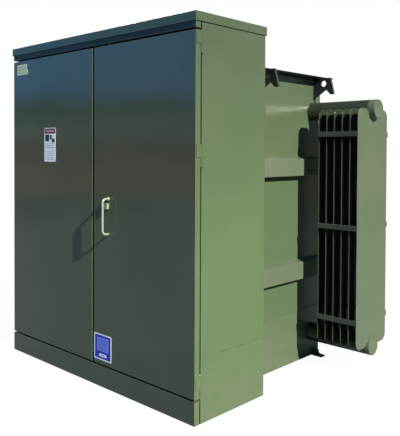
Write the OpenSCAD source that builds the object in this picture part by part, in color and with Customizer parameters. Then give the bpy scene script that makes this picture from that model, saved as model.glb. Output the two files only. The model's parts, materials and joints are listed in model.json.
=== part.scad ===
// Three-phase pad-mounted transformer: a sheet-metal cable cabinet in front of a sealed oil tank
// with a bank of pressed-steel radiator panels on each side.
// Millimetres. X to the right, Y to the back, Z up. Origin: middle of the footprint, on the pad.

/* [Cabinet] */
// Width of the cabinet over its side sheets
cab_w = 1626; // [1400:1:1900]
// Depth of the cabinet from the door faces to its back panel
cab_d = 523; // [480:1:700]
// Height of the cabinet over its roof cap
cab_h = 1936; // [1860:1:2300]
// Thickness of the cabinet sheets
sheet = 3; // [2:0.5:4]
// Height of the roof cap's skirt
cap_h = 45; // [30:1:70]
// Overhang of the roof cap all round
cap_over = 6; // [2:0.5:12]
// Height of the header band between cap and doors
header_h = 31; // [25:1:60]
// Height of the front sill
sill_h = 113; // [90:1:160]
// Width of the edge flanges that stiffen the side sheets
side_return = 30; // [20:1:45]
// Width of the strip that the back panel laps over the tank front
window_lap = 29; // [20:1:60]

/* [Doors] */
// Middle of the gap between the two doors, right of the cabinet's middle
seam_x = 30; // [-40:1:60]
// Gap between the two doors
seam_gap = 16; // [8:0.5:20]
// Gap above and below the doors
door_gap = 9; // [4:0.5:12]
// Depth of the doors' edge flanges
flange_d = 33; // [28:1:40]
// Gap between the door flanges and the side sheets
side_gap = 8; // [7:0.5:12]
// Width of the turned-in lip on the door flanges
lip_w = 22; // [12:1:30]
// Width of the doors' upright stiffening channels
stiffener_w = 70; // [50:1:100]
// Depth of the stiffening channels
stiffener_d = 26; // [15:1:28]
// Thickness of the stiffening channels' sheet
stiffener_t = 2; // [1.5:0.5:3]
// Height above the pad of each hinge's parting line
hinge_z = [1788, 1258, 169];
// Height of a hinge knuckle on the door
knuckle_up = 62; // [45:1:62]
// Height of a hinge knuckle on the cabinet
knuckle_down = 46; // [30:1:46]
// Radius of the hinge knuckles
knuckle_r = 5; // [4.5:0.25:6]
// Radius of the hinge pins
pin_r = 3; // [2:0.25:3.5]
// Length of each door stay between its pivot and its tip
stay_l = 400; // [250:5:450]
// Height of the stay pivots above the pad
stay_z = 330; // [250:5:500]

/* [Latch] */
// Distance of the handle's pivot from the middle of the door gap
handle_x = 140; // [120:1:200]
// Height of the handle's pivot above the pad
handle_z = 1030; // [900:1:1150]
// Distance between the handle's two legs
handle_l = 189; // [150:1:230]
// Stand-off of the grip's centre line from the door
handle_off = 42; // [38:1:60]
// Diameter of the handle's rod
handle_d = 12; // [10:0.5:16]
// Centre-line radius of the handle's bends
handle_bend = 22; // [15:1:30]
// Radius of the latch cam's drive-pin circle
cam_pin_circle = 25; // [20:1:30]
// Radius of the latch cam
cam_r = 35; // [32:1:45]
// Diameter of the latch rods
rod_d = 12; // [8:0.5:12]
// Reach of the latch rods into the header and the sill
rod_bite = 15; // [10:1:25]
// Width, depth and height of the lock boss
boss_size = [26, 14, 30];

/* [Tank] */
// Width of the tank over its side walls
tank_w = 1258; // [1100:1:1400]
// Depth of the tank behind the cabinet
tank_d = 813; // [700:1:1100]
// Height of the tank body under its cover gasket
tank_h = 1740; // [1650:1:1800]
// Thickness of the tank walls
tank_t = 6; // [5:0.5:10]
// Thickness of the tank's front plate
front_t = 10; // [8:0.5:14]
// Overhang of the tank cover past the side walls
cover_over = 75; // [40:1:90]
// Overhang of the tank cover past the rear wall
cover_rear = 40; // [20:1:90]
// Thickness of the tank cover
cover_t = 4; // [3:0.5:8]
// Thickness of the cover gasket
gasket_t = 6; // [4:0.5:10]
// Width of the tank's top flange and of the gasket on it
rim_w = 45; // [30:1:60]
// Projection of the stiffening ribs from the tank walls
rib_out = 48; // [30:1:60]
// Height of the ribs' flat face
rib_h = 102; // [70:1:120]
// Fall of the ribs' sloping top
rib_slope = 13; // [8:1:25]
// Depth of the upper rib's lower edge below the tank's top
rib_drop = 599; // [400:1:700]
// Height of the lower rib's lower edge above the pad
rib_low = 515; // [400:1:600]
// Distance of each pair of lifting hooks behind the back panel
hook_y = [167, 735];
// Thickness of the lifting hooks
hook_t = 12; // [8:1:16]
// Radius of the hole in each lifting hook
hook_hole_r = 19; // [15:0.5:20]

/* [Radiators] */
// Number of panels in each radiator
panel_n = 6; // [3:1:7]
// Spacing of the panels
panel_pitch = 51; // [40:1:60]
// Width of a panel
panel_w = 348; // [260:1:380]
// Thickness of a panel at its edges
panel_t = 9; // [6:0.5:12]
// Height of a panel's lower edge above the pad
panel_z0 = 154; // [130:1:180]
// Depth of the panels' upper edge below the tank's top
panel_drop = 203; // [150:1:300]
// Radius of the header pipes
pipe_r = 55; // [45:0.5:60]
// Wall of the header pipes
pipe_t = 4; // [3:0.5:6]
// Height of the lower header pipe's centre above the pad
pipe_z0 = 153; // [135:1:180]
// Depth of the upper header pipe's centre below the panels' upper edge
pipe_drop = 0; // [0:1:25]
// Distance of the header pipes from the tank's rear wall
pipe_inset = 90; // [80:1:300]
// Distance of the first panel's middle from the tank wall
panel_x0 = 161; // [130:1:200]
// Length of the upper header pipe past the last panel's middle
pipe_end = 38; // [25:1:60]
// How much shorter the lower header pipe is
pipe_short = 20; // [0:1:25]
// Height of the radiator straps
strap_h = 30; // [20:1:40]
// Thickness of the radiator straps
strap_t = 5; // [3:0.5:8]
// Distance of the upper strap below the panels' upper edge
strap_top = 147; // [120:1:300]
// Distance of the lower strap above the panels' lower edge
strap_low = 160; // [120:1:300]

/* [Fittings] */
// Spacing of the high-voltage bushings and of the fuses
hv_pitch = 150; // [130:1:170]
// Distance of the middle high-voltage bushing from the tank's middle
hv_x = -290; // [-330:1:-250]
// Depth of the high-voltage bushings below the fuses
hv_drop = 370; // [330:1:420]
// Radius of the high-voltage bushing wells' sockets
well_r = 25; // [20:0.5:28]
// Depth of the high-voltage bushing wells' sockets
well_depth = 70; // [50:1:80]
// Depth of the fuses below the tank's top
fuse_drop = 290; // [260:1:320]
// Radius of the fuse holders' barrels
fuse_r = 15; // [10:0.5:18]
// Length of the fuse holders' barrels
fuse_l = 380; // [340:1:400]
// Spacing of the low-voltage terminals
lv_pitch = 125; // [122:1:135]
// Distance of the middle of the low-voltage terminals from the tank's middle
lv_x = 310; // [290:1:330]
// Depth of the low-voltage terminals below the tank's top
lv_drop = 610; // [560:1:660]
// Length of the low-voltage terminal blades
spade_l = 110; // [90:1:120]
// Height of the low-voltage terminal blades
spade_h = 100; // [80:1:110]
// Thickness of the low-voltage terminal blades
spade_t = 12; // [10:0.5:16]
// Spacing of the holes in the terminal blades and ground pads
nema_pitch = 44.45;
// Radius of the holes in the terminal blades
nema_hole_r = 7.15;
// Radius of the threaded holes in the ground pads
ground_hole_r = 5.4;
// Radius of the gauges
gauge_r = 50; // [40:1:55]

/* [Clearances] */
// Radial running clearance of shafts and pins in their bores
run = 0.06; // [0.02:0.01:0.1]
// Clearance between pieces that pass each other
pass = 0.5; // [0.3:0.1:1]
// Clearance of the drive pins in the latch rods' slots
slot_play = 1; // [0.9:0.05:1.2]

/* [Hidden] */
$fn = 48;
side_x = cab_w / 2;
handle_reach = handle_off + handle_d / 2;
// overall depth, from the handle's grip to the radiators' rear straps or the cover's rear edge
rad_back = cab_d + tank_d - pipe_inset + panel_w / 2 + strap_t;
cover_back = cab_d + tank_d + cover_rear;
overall_d = handle_reach + max(rad_back, cover_back);
// planes from front to back
face_y = handle_reach - overall_d / 2;
inner_y = face_y + sheet;
flange_y = face_y + flange_d;
side_y = flange_y + side_gap;
back_y = face_y + cab_d;
rear_y = back_y + tank_d;
// levels of the cabinet front
sheet_top = cab_h - sheet;
header_z = cab_h - cap_h - header_h;
door_top = header_z - door_gap;
door_bottom = sill_h + door_gap;
// hinge axis
hinge_x = side_x - 1;
hinge_y = flange_y + side_gap - 2;
// latch
latch_x = seam_x + handle_x;
spindle_r = 8;
cam_y = inner_y + 7;
cam_t = 5;
rod_y = cam_y + cam_t + 7.5;
rod_r = rod_d / 2;
drive_r = 4;
pin_off = cam_pin_circle * cos(45);
rod_off = (cam_pin_circle + pin_off) / 2;
yoke_t = 5;
yoke_h = 2 * (drive_r + slot_play) + 12;
boss_x = latch_x - 13;
boss_z = handle_z - 40;
bolt_r = 5;
// stiffening channels and stays
right_stiffeners = [side_x - 178, side_x - 448];
left_stiffeners = [-side_x + 178, -side_x + 588];
stay_t = 5;
stay_w = 22;
stay_y = flange_y + 1.5;
stud_r = 5;
// tank
wall_x = tank_w / 2;
rib_z = [tank_h - rib_drop, rib_low];
gasket_z = tank_h + gasket_t;
hook_z = tank_h + gasket_t - 2;
// radiators
panel_z1 = tank_h - panel_drop;
strap_z = [panel_z1 - strap_top, (panel_z1 - strap_top + panel_z0 + strap_low) / 2, panel_z0 + strap_low];
pipe_y = rear_y - pipe_inset;
pipe_z1 = panel_z1 - pipe_drop;
first_panel = wall_x + panel_x0;
last_panel = first_panel + (panel_n - 1) * panel_pitch;
// fittings
well_flange_r = 62;
flange_t = 10;
well_body_r = 40;
well_out = 95;
well_stem_r = 30;
well_in = 80;
fuse_out = 60;
fuse_in = 330;
fuse_flange_r = 42;
fuse_flange_t = 8;
fuse_tube_r = 26;
fuse_end_gap = 5;
fuse_cap_r = 28;
fuse_cap_l = 26;
eye_stand = 14;
eye_r = 17;
eye_t = 6;
eye_hole_r = 9;
lever_out = 34;
lever_in = 30;
lever_r = 9;
lever_hub_r = 16;
lever_gap = 12;
lever_grip = 14;
switch_reach = 110;
tap_reach = 70;
lv_flange_r = 55;
lv_flange_t = 12;
lv_body_r = 38;
lv_out = 60;
lv_stem_r = 30;
terminal_r = 16;
terminal_in = 90;
nut_r = 26;
nut_t = 14;
spade_shift = 8;
gauge_out = 45;
gauge_rim = 6;
dial_y = back_y - 31;
needle_y = dial_y - 6;
needle_t = 3;
needle_hub_r = 6;
needle_pin_r = 2.5;
needle_tail = 12;
needle_l = gauge_r - 14;
valve_r = 17;
valve_out = 75;
valve_body_r = 26;
valve_end_r = 22;
valve_end_l = 13;
valve_bore_r = 11;
stem_y = back_y - 42;
stem_r = 7;
stem_h = 44;
drain_reach = 95;
relief_r = 22;
relief_out = 50;
relief_neck = 20;
relief_neck_r = 16;
relief_pin_r = 4;
ring_r = 14;
ring_wire_r = 2.5;
plate_t = 2;
pad_w = 50;
pad_h = 90;
pad_t = 14;
deck_w = 110;
deck_h = 90;
deck_l = 150;
clamp_inset = 20;
clamp_past = 30;
foot_z = 20;
fuse_z = tank_h - fuse_drop;
hv_z = fuse_z - hv_drop;
lv_z = tank_h - lv_drop;
gauge_x = [150, 290, 430];
gauge_z = tank_h - 280;
switch_pos = [hv_x - 215, fuse_z - 180];
tap_pos = [hv_x + 215, fuse_z - 160];
valve_x = 430;
valve_z = 130;
relief_x = 545;
relief_z = tank_h - 160;
pad_x = 560;
pad_z = sill_h + 47;
plate_w = 180;
plate_h = 120;
plate_x = 330;
plate_z = tank_h - 490;
// core and windings
limb_x = 360;
limb_w = 160;
yoke_band = 160;
core_y = back_y + 0.62 * tank_d;
core_z0 = 150;
core_z1 = tank_h - 530;
clamp_t = 15;
clamp_h = 120;
foot_w = 60;
coil_r = 165;
coil_gap = 20;

// ---------- helpers ----------

// a box from its low corner to its high corner
module block(low, high) {
    translate(low)
        cube(high - low);
}

// a rod along Y from y0 to y1
module rod_along_y(x, z, r, y0, y1) {
    translate([x, y1, z])
        rotate([90, 0, 0])
            cylinder(r = r, h = y1 - y0);
}

// a rod along X from x0 to x1
module rod_along_x(y, z, r, x0, x1) {
    translate([x0, y, z])
        rotate([0, 90, 0])
            cylinder(r = r, h = x1 - x0);
}

// a rod along Z from z0 to z1
module rod_along_z(x, y, r, z0, z1) {
    translate([x, y, z0])
        cylinder(r = r, h = z1 - z0);
}

// the piece and its mirror image on the left
module both_sides() {
    children();
    mirror([1, 0, 0])
        children();
}

// an outline drawn in X and Z, drawn out along Y from y0 to y1
module extrude_y(y0, y1) {
    translate([0, y1, 0])
        rotate([90, 0, 0])
            linear_extrude(y1 - y0)
                children();
}

// ---------- cabinet ----------

// the notches that clear the hinge knuckles in a right-hand side sheet
module hinge_notches() {
    for (z = hinge_z)
        block([side_x - 12, side_y - 1, z - knuckle_down - 4], [side_x + 1, side_y + 6, z + knuckle_up + 2]);
}

module side_sheet() {
    difference() {
        union() {
            block([side_x - sheet, side_y, 0], [side_x, back_y - sheet, sheet_top]);
            block([side_x - side_return, side_y, 0], [side_x, side_y + sheet, sheet_top]);
        }
        hinge_notches();
    }
}

module side_sheet_right() {
    color("#748a62")
        side_sheet();
}

module side_sheet_left() {
    color("#748a62")
        mirror([1, 0, 0])
            side_sheet();
}

module back_panel() {
    color("#5d6f50")
        difference() {
            block([-side_x, back_y - sheet, 0], [side_x, back_y, sheet_top]);
            block(
                [-wall_x + window_lap, back_y - sheet - 1, window_lap],
                [wall_x - window_lap, back_y + 1, tank_h - window_lap]
            );
        }
}

// a sheet-metal rail across the cabinet front from z0 to z1, with ends turned back like the doors
module front_rail(z0, z1) {
    block([-side_x, face_y, z0], [side_x, inner_y, z1]);
    both_sides()
        block([side_x - sheet, face_y, z0], [side_x, flange_y, z1]);
    for (z = [z0, z1 - sheet])
        block([-side_x + sheet, face_y, z], [side_x - sheet, side_y, z + sheet]);
}

module header_channel() {
    color("#3a4c4e")
        difference() {
            front_rail(header_z, sheet_top);
            rod_along_z(latch_x - rod_off, rod_y, rod_r + 2, header_z - 1, header_z + sheet + 1);
        }
}

module front_sill() {
    color("#3d4641")
        difference() {
            front_rail(0, sill_h);
            rod_along_z(latch_x + rod_off, rod_y, rod_r + 2, sill_h - sheet - 1, sill_h + 1);
        }
}

module roof_cap() {
    color("#6f8267")
        difference() {
            block(
                [-side_x - cap_over, face_y - cap_over, cab_h - cap_h],
                [side_x + cap_over, back_y + cap_over, cab_h]
            );
            block(
                [-side_x - cap_over + sheet, face_y - cap_over + sheet, cab_h - cap_h - 1],
                [side_x + cap_over - sheet, back_y + cap_over - sheet, sheet_top]
            );
        }
}

module centre_barrier() {
    color("#66785a") {
        block([seam_x, side_y + 10, 20], [seam_x + sheet, back_y - sheet, sheet_top]);
        block([seam_x, side_y + 10, 20], [seam_x + 20, side_y + 10 + sheet, sheet_top]);
    }
}

// ---------- doors ----------

// a door tray between x0 and x1: face sheet, four edge flanges and a lip turned in all round
module door_tray(x0, x1) {
    difference() {
        block([x0, face_y, door_bottom], [x1, flange_y, door_top]);
        block(
            [x0 + sheet, inner_y, door_bottom + sheet],
            [x1 - sheet, flange_y - sheet, door_top - sheet]
        );
        block(
            [x0 + sheet + lip_w, inner_y, door_bottom + sheet + lip_w],
            [x1 - sheet - lip_w, flange_y + 1, door_top - sheet - lip_w]
        );
    }
}

module left_door() {
    color("#37494b")
        door_tray(-side_x, seam_x - seam_gap / 2);
}

module right_door() {
    color("#38494a")
        difference() {
            door_tray(seam_x + seam_gap / 2, side_x);
            rod_along_y(latch_x, handle_z, spindle_r + run, face_y - 1, inner_y + 1);
            rod_along_y(boss_x, boss_z, bolt_r + run, face_y - 1, inner_y + 1);
            for (end = [[-rod_off, door_top - sheet], [rod_off, door_bottom]])
                rod_along_z(latch_x + end[0], rod_y, rod_r + 2, end[1] - 1, end[1] + sheet + 1);
            for (end = [[-rod_off, door_top - sheet - lip_w], [rod_off, door_bottom + sheet]])
                block(
                    [latch_x + end[0] - rod_r - 2, flange_y - sheet - 1, end[1] - 1],
                    [latch_x + end[0] + rod_r + 2, flange_y + 1, end[1] + lip_w + 1]
                );
        }
}

// an upright hat channel on a door's inner face
module stiffener(x) {
    top = door_top - sheet - lip_w - 10;
    bottom = door_bottom + sheet + lip_w + 10;
    difference() {
        block([x - stiffener_w / 2, inner_y, bottom], [x + stiffener_w / 2, inner_y + stiffener_d, top]);
        block(
            [x - stiffener_w / 2 + stiffener_t, inner_y - 1, bottom - 1],
            [x + stiffener_w / 2 - stiffener_t, inner_y + stiffener_d - stiffener_t, top + 1]
        );
    }
}

// the stud that a door stay turns on
module stay_stud(x) {
    rod_along_y(x, stay_z, stud_r, inner_y + stiffener_d - stiffener_t, stay_y + stay_t + pass);
    rod_along_y(x, stay_z, stud_r + 4, inner_y + stiffener_d - stiffener_t, stay_y - pass);
    rod_along_y(x, stay_z, stud_r + 4, stay_y + stay_t + pass, stay_y + stay_t + pass + 2);
}

module left_door_stiffeners() {
    color("#4a5c4c") {
        for (x = left_stiffeners)
            stiffener(x);
        stay_stud(left_stiffeners[0]);
    }
}

module right_door_stiffeners() {
    color("#4a5c4c") {
        for (x = right_stiffeners)
            stiffener(x);
        stay_stud(right_stiffeners[0]);
    }
}

// the three knuckles on a right-hand door, each with a leaf on the door's edge flange
module door_knuckles() {
    difference() {
        for (z = hinge_z) {
            rod_along_z(hinge_x, hinge_y, knuckle_r, z + pass / 2, z + knuckle_up);
            block([side_x, face_y + 4, z + pass / 2], [side_x + sheet, hinge_y, z + knuckle_up]);
        }
        for (z = hinge_z)
            rod_along_z(hinge_x, hinge_y, pin_r + run, z - 1, z + knuckle_up + 1);
    }
}

module right_hinge_leaves() {
    color("#7f9670")
        door_knuckles();
}

module left_hinge_leaves() {
    color("#7f9670")
        mirror([1, 0, 0])
            door_knuckles();
}

// the three knuckles on the right-hand side of the cabinet, each with a leaf inside the side sheet
module cabinet_knuckles() {
    difference() {
        for (z = hinge_z) {
            rod_along_z(hinge_x, hinge_y, knuckle_r, z - knuckle_down, z - pass / 2);
            block(
                [hinge_x - knuckle_r, hinge_y, z - knuckle_down],
                [side_x - sheet, side_y + 40, z - pass / 2]
            );
        }
        for (z = hinge_z)
            rod_along_z(hinge_x, hinge_y, pin_r, z - knuckle_down - 1, z + 1);
    }
}

module hinge_brackets() {
    color("#5d6f50")
        both_sides()
            cabinet_knuckles();
}

module hinge_pins() {
    color("#b9b9b0")
        both_sides()
            for (z = hinge_z)
                rod_along_z(hinge_x, hinge_y, pin_r, z - knuckle_down, z + knuckle_up - 1);
}

// a flat stay bar pointing from its pivot towards the seam, dir is 1 to the right and -1 to the left
module stay(x, dir) {
    tip_x = x + dir * stay_l;
    difference() {
        union() {
            block(
                [min(x, tip_x), stay_y, stay_z - stay_w / 2],
                [max(x, tip_x), stay_y + stay_t, stay_z + stay_w / 2]
            );
            for (end_x = [x, tip_x])
                rod_along_y(end_x, stay_z, stay_w / 2, stay_y, stay_y + stay_t);
        }
        rod_along_y(x, stay_z, stud_r + run, stay_y - 1, stay_y + stay_t + 1);
        rod_along_y(tip_x, stay_z, stud_r, stay_y - 1, stay_y + stay_t + 1);
    }
}

module left_door_stay() {
    color("#c4c6bf")
        stay(left_stiffeners[0], 1);
}

module right_door_stay() {
    color("#c4c6bf")
        stay(right_stiffeners[0], -1);
}

// ---------- latch ----------

// a quarter bend of round rod in the YZ plane, centred on the origin
module rod_bend() {
    rotate([0, 90, 0])
        rotate_extrude(angle = 90)
            translate([handle_bend, 0])
                circle(d = handle_d);
}

module door_handle() {
    grip_y = face_y - handle_off;
    low_z = handle_z - handle_l;
    color("#a8b79a") {
        rod_along_z(latch_x, grip_y, handle_d / 2, low_z + handle_bend, handle_z - handle_bend);
        translate([latch_x, grip_y + handle_bend, low_z + handle_bend])
            rotate([180, 0, 0])
                mirror([0, 0, 1])
                    rod_bend();
        translate([latch_x, grip_y + handle_bend, handle_z - handle_bend])
            rotate([180, 0, 0])
                rod_bend();
        rod_along_y(latch_x, low_z, handle_d / 2, grip_y + handle_bend, face_y - 1.5);
        rod_along_y(latch_x, handle_z, handle_d / 2, grip_y + handle_bend, face_y - 5);
        rod_along_y(latch_x, handle_z, handle_d / 2 + 4, face_y - 9, face_y - pass);
        rod_along_y(latch_x, handle_z, spindle_r, face_y - 6, cam_y + cam_t);
    }
}

module lock_boss() {
    color("#c0cbb0")
        difference() {
            block(
                [boss_x - boss_size[0] / 2, face_y - boss_size[1], boss_z - boss_size[2] / 2],
                [boss_x + boss_size[0] / 2, face_y, boss_z + boss_size[2] / 2]
            );
            rod_along_y(boss_x, boss_z, bolt_r + run, face_y - boss_size[1] - 1, face_y + 1);
            rod_along_y(boss_x, boss_z, 10.5, face_y - boss_size[1] - 1, face_y - 4);
        }
}

module lock_bolt() {
    color("#9a9c96") {
        rod_along_y(boss_x, boss_z, bolt_r, face_y - boss_size[1] + 2, inner_y + 12);
        translate([boss_x, face_y - 4 - pass, boss_z])
            rotate([90, 0, 0])
                cylinder(r = 8, h = boss_size[1] - 5, $fn = 5);
    }
}

module latch_cam() {
    color("#b4b6ae") {
        difference() {
            rod_along_y(latch_x, handle_z, cam_r, cam_y, cam_y + cam_t);
            rod_along_y(latch_x, handle_z, spindle_r, cam_y - 1, cam_y + cam_t + 1);
        }
        for (turn = [135, 315])
            rod_along_y(
                latch_x + cam_pin_circle * cos(turn), handle_z + cam_pin_circle * sin(turn),
                drive_r, cam_y + cam_t - 0.01, rod_y + yoke_t / 2 + 2
            );
    }
}

// a latch rod with a slotted yoke that one of the cam's pins drives, dir is 1 for up and -1 for down
module latch_rod(dir, tip_z) {
    yoke_x = latch_x - dir * rod_off;
    yoke_z = handle_z + dir * pin_off;
    half_slot = drive_r + slot_play;
    slot_run = (cam_pin_circle - pin_off) / 2;
    difference() {
        union() {
            block(
                [yoke_x - slot_run - half_slot - 6, rod_y - yoke_t / 2, yoke_z - yoke_h / 2],
                [yoke_x + slot_run + half_slot + 6, rod_y + yoke_t / 2, yoke_z + yoke_h / 2]
            );
            rod_along_z(
                yoke_x, rod_y, rod_r,
                min(yoke_z + dir * yoke_h / 4, tip_z), max(yoke_z + dir * yoke_h / 4, tip_z)
            );
        }
        block(
            [yoke_x - slot_run - half_slot, rod_y - rod_r - 1, yoke_z - half_slot],
            [yoke_x + slot_run + half_slot, rod_y + rod_r + 1, yoke_z + half_slot]
        );
    }
}

module upper_latch_rod() {
    color("#b4b6ae")
        latch_rod(1, header_z + rod_bite);
}

module lower_latch_rod() {
    color("#b4b6ae")
        latch_rod(-1, sill_h - rod_bite);
}

module rod_guides() {
    color("#4a5c4c")
        for (at = [[-rod_off, 250], [-rod_off, 650], [rod_off, -250], [rod_off, -650]])
            difference() {
                block(
                    [latch_x + at[0] - 14, inner_y, handle_z + at[1] - 10],
                    [latch_x + at[0] + 14, rod_y + rod_r + 3, handle_z + at[1] + 10]
                );
                rod_along_z(
                    latch_x + at[0], rod_y, rod_r + pass,
                    handle_z + at[1] - 11, handle_z + at[1] + 11
                );
            }
}

// ---------- labels ----------

// a thin plate on the door faces, from its lower left corner
module label(x, z, w, h) {
    block([x, face_y - 0.6, z], [x + w, face_y, z + h]);
}

module left_door_labels() {
    color("#98a266") {
        label(-side_x + 43, 1797, 114, 32);
        label(-side_x + 43, 1763, 128, 32);
    }
    color("#e4e6e4")
        label(-side_x + 356, 1221, 121, 202);
}

module right_door_label() {
    color("#1f2391")
        label(seam_x + seam_gap / 2 + 4, 147, 152, 142);
}

// ---------- tank ----------

module tank_shell() {
    color("#728362")
        difference() {
            union() {
                block([-wall_x, back_y, 0], [wall_x, rear_y, tank_h]);
                block([-wall_x - 4, back_y, 0], [wall_x + 4, rear_y + 4, 14]);
            }
            block(
                [-wall_x + tank_t, back_y + front_t, 20],
                [wall_x - tank_t, rear_y - tank_t, tank_h - 8]
            );
            block(
                [-wall_x + rim_w, back_y + rim_w, tank_h - 9],
                [wall_x - rim_w, rear_y - rim_w, tank_h + 1]
            );
            for (z = [pipe_z0, pipe_z1])
                rod_along_x(pipe_y, z, pipe_r - pipe_t, -wall_x - 1, wall_x + 1);
            for (i = [-1:1]) {
                rod_along_y(hv_x + i * hv_pitch, hv_z, 30, back_y - 1, back_y + front_t + 1);
                rod_along_y(hv_x + i * hv_pitch, fuse_z, 26, back_y - 1, back_y + front_t + 1);
            }
            for (i = [-1.5:1.5])
                rod_along_y(lv_x + i * lv_pitch, lv_z, 30, back_y - 1, back_y + front_t + 1);
            for (at = [switch_pos, tap_pos])
                rod_along_y(at[0], at[1], 9 + run, back_y - 1, back_y + front_t + 1);
        }
}

module tank_cover() {
    color("#3c4a3f")
        block(
            [-wall_x - cover_over, back_y, gasket_z],
            [wall_x + cover_over, rear_y + cover_rear, gasket_z + cover_t]
        );
}

module cover_gasket() {
    color("#1b1c1b")
        difference() {
            block([-wall_x, back_y, tank_h], [wall_x, rear_y, gasket_z]);
            block(
                [-wall_x + rim_w, back_y + rim_w, tank_h - 1],
                [wall_x - rim_w, rear_y - rim_w, gasket_z + 1]
            );
        }
}

// the cross-section of a rib against a wall at 0, with a sloping top that sheds water
module rib_outline(z) {
    polygon([[0, z], [rib_out, z], [rib_out, z + rib_h], [0, z + rib_h + rib_slope]]);
}

module tank_ribs() {
    color("#728362")
        for (z = rib_z) {
            both_sides()
                translate([wall_x, 0, 0])
                    extrude_y(back_y, rear_y - 10)
                        rib_outline(z);
            translate([-wall_x + 60, rear_y, 0])
                rotate([90, 0, 90])
                    linear_extrude(tank_w - 120)
                        rib_outline(z);
        }
}

// a lifting hook against a wall at 0, hung from hook_z
module hook_outline() {
    difference() {
        polygon([
            [0, hook_z], [127, hook_z], [152, hook_z - 103], [124, hook_z - 103],
            [94, hook_z - 72], [0, hook_z - 132]
        ]);
        translate([76, hook_z - 35])
            circle(r = hook_hole_r);
    }
}

module lifting_hooks() {
    color("#222c2a")
        both_sides()
            for (y = hook_y)
                translate([wall_x, 0, 0])
                    extrude_y(back_y + y - hook_t / 2, back_y + y + hook_t / 2)
                        hook_outline();
}

module hold_down_cleats() {
    color("#30352b")
        both_sides()
            difference() {
                union() {
                    block([wall_x + 4, rear_y - 86, 0], [wall_x + 79, rear_y - 46, 10]);
                    translate([wall_x + 4, 0, 0])
                        extrude_y(rear_y - 71, rear_y - 61)
                            polygon([[0, 5], [48, 5], [48, 18], [12, 48], [0, 48]]);
                }
                rod_along_z(wall_x + 64, rear_y - 66, 8, -1, 11);
            }
}

// ---------- radiators ----------

module header_pipe(z, end_x) {
    difference() {
        rod_along_x(pipe_y, z, pipe_r, wall_x, end_x);
        rod_along_x(pipe_y, z, pipe_r - pipe_t, wall_x - 1, end_x - 6);
    }
}

module radiator_headers() {
    header_pipe(pipe_z1, last_panel + pipe_end);
    header_pipe(pipe_z0, last_panel + pipe_end - pipe_short);
}

// outline of a panel, across and up: round shoulders, and a notch that widens from each pipe
module panel_outline() {
    shoulder = 45;
    difference() {
        union() {
            translate([-panel_w / 2, panel_z0 + shoulder])
                square([panel_w, panel_z1 - panel_z0 - 2 * shoulder]);
            translate([-panel_w / 2 + shoulder, panel_z0])
                square([panel_w - 2 * shoulder, panel_z1 - panel_z0]);
            for (x = [-1, 1], z = [panel_z0 + shoulder, panel_z1 - shoulder])
                translate([x * (panel_w / 2 - shoulder), z])
                    circle(r = shoulder);
        }
        for (z = [pipe_z0, pipe_z1])
            translate([0, z])
                circle(r = pipe_r);
        polygon([
            [-pipe_r * 0.94, pipe_z1 - 20], [pipe_r * 0.94, pipe_z1 - 20],
            [pipe_r + 22, panel_z1 + 1], [-pipe_r - 22, panel_z1 + 1]
        ]);
        polygon([
            [-pipe_r * 0.94, pipe_z0 + 20], [pipe_r * 0.94, pipe_z0 + 20],
            [pipe_r + 22, panel_z0 - 1], [-pipe_r - 22, panel_z0 - 1]
        ]);
    }
}

// a pressed panel: a thin seam all round and four raised oil channels
module radiator_panel() {
    channel_w = 58;
    channel_gap = (panel_w - 4 * channel_w) / 5;
    rotate([90, 0, 90])
        translate([0, 0, -panel_t / 2])
            linear_extrude(panel_t)
                panel_outline();
    for (i = [0:3])
        translate([0, -panel_w / 2 + channel_gap + i * (channel_w + channel_gap), 0])
            block(
                [-panel_t / 2 - 2, 0, pipe_z0 + pipe_r + 12],
                [panel_t / 2 + 2, channel_w, pipe_z1 - pipe_r - 12]
            );
}

module radiator_panels() {
    for (i = [0:panel_n - 1])
        translate([first_panel + i * panel_pitch, pipe_y, 0])
            radiator_panel();
}

module radiator_straps() {
    for (z = strap_z, side = [-1, 1])
        translate([0, pipe_y + side * (panel_w + strap_t) / 2, 0])
            block(
                [first_panel - panel_t / 2, -strap_t / 2, z - strap_h / 2],
                [last_panel + panel_t / 2, strap_t / 2, z + strap_h / 2]
            );
}

module radiator_headers_right() {
    color("#6a756f")
        radiator_headers();
}

module radiator_headers_left() {
    color("#6a756f")
        mirror([1, 0, 0])
            radiator_headers();
}

module radiator_panels_right() {
    color("#7c8a70")
        radiator_panels();
}

module radiator_panels_left() {
    color("#7c8a70")
        mirror([1, 0, 0])
            radiator_panels();
}

module radiator_straps_right() {
    color("#65706a")
        radiator_straps();
}

module radiator_straps_left() {
    color("#65706a")
        mirror([1, 0, 0])
            radiator_straps();
}

// ---------- high-voltage fittings ----------

module hv_bushing_wells() {
    color("#6b3f33")
        for (i = [-1:1])
            difference() {
                union() {
                    rod_along_y(hv_x + i * hv_pitch, hv_z, well_flange_r, back_y - flange_t, back_y);
                    rod_along_y(hv_x + i * hv_pitch, hv_z, well_body_r, back_y - well_out, back_y);
                    rod_along_y(hv_x + i * hv_pitch, hv_z, well_stem_r, back_y, back_y + well_in);
                }
                rod_along_y(
                    hv_x + i * hv_pitch, hv_z, well_r,
                    back_y - well_out - 1, back_y - well_out + well_depth
                );
            }
}

module fuse_wells() {
    color("#3a3d3c")
        for (i = [-1:1])
            difference() {
                union() {
                    rod_along_y(hv_x + i * hv_pitch, fuse_z, fuse_flange_r, back_y - fuse_flange_t, back_y);
                    rod_along_y(
                        hv_x + i * hv_pitch, fuse_z, fuse_tube_r,
                        back_y - fuse_out, back_y + fuse_in
                    );
                }
                rod_along_y(
                    hv_x + i * hv_pitch, fuse_z, fuse_r + run,
                    back_y - fuse_out - 1, back_y - fuse_out + fuse_l + fuse_end_gap
                );
            }
}

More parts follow.
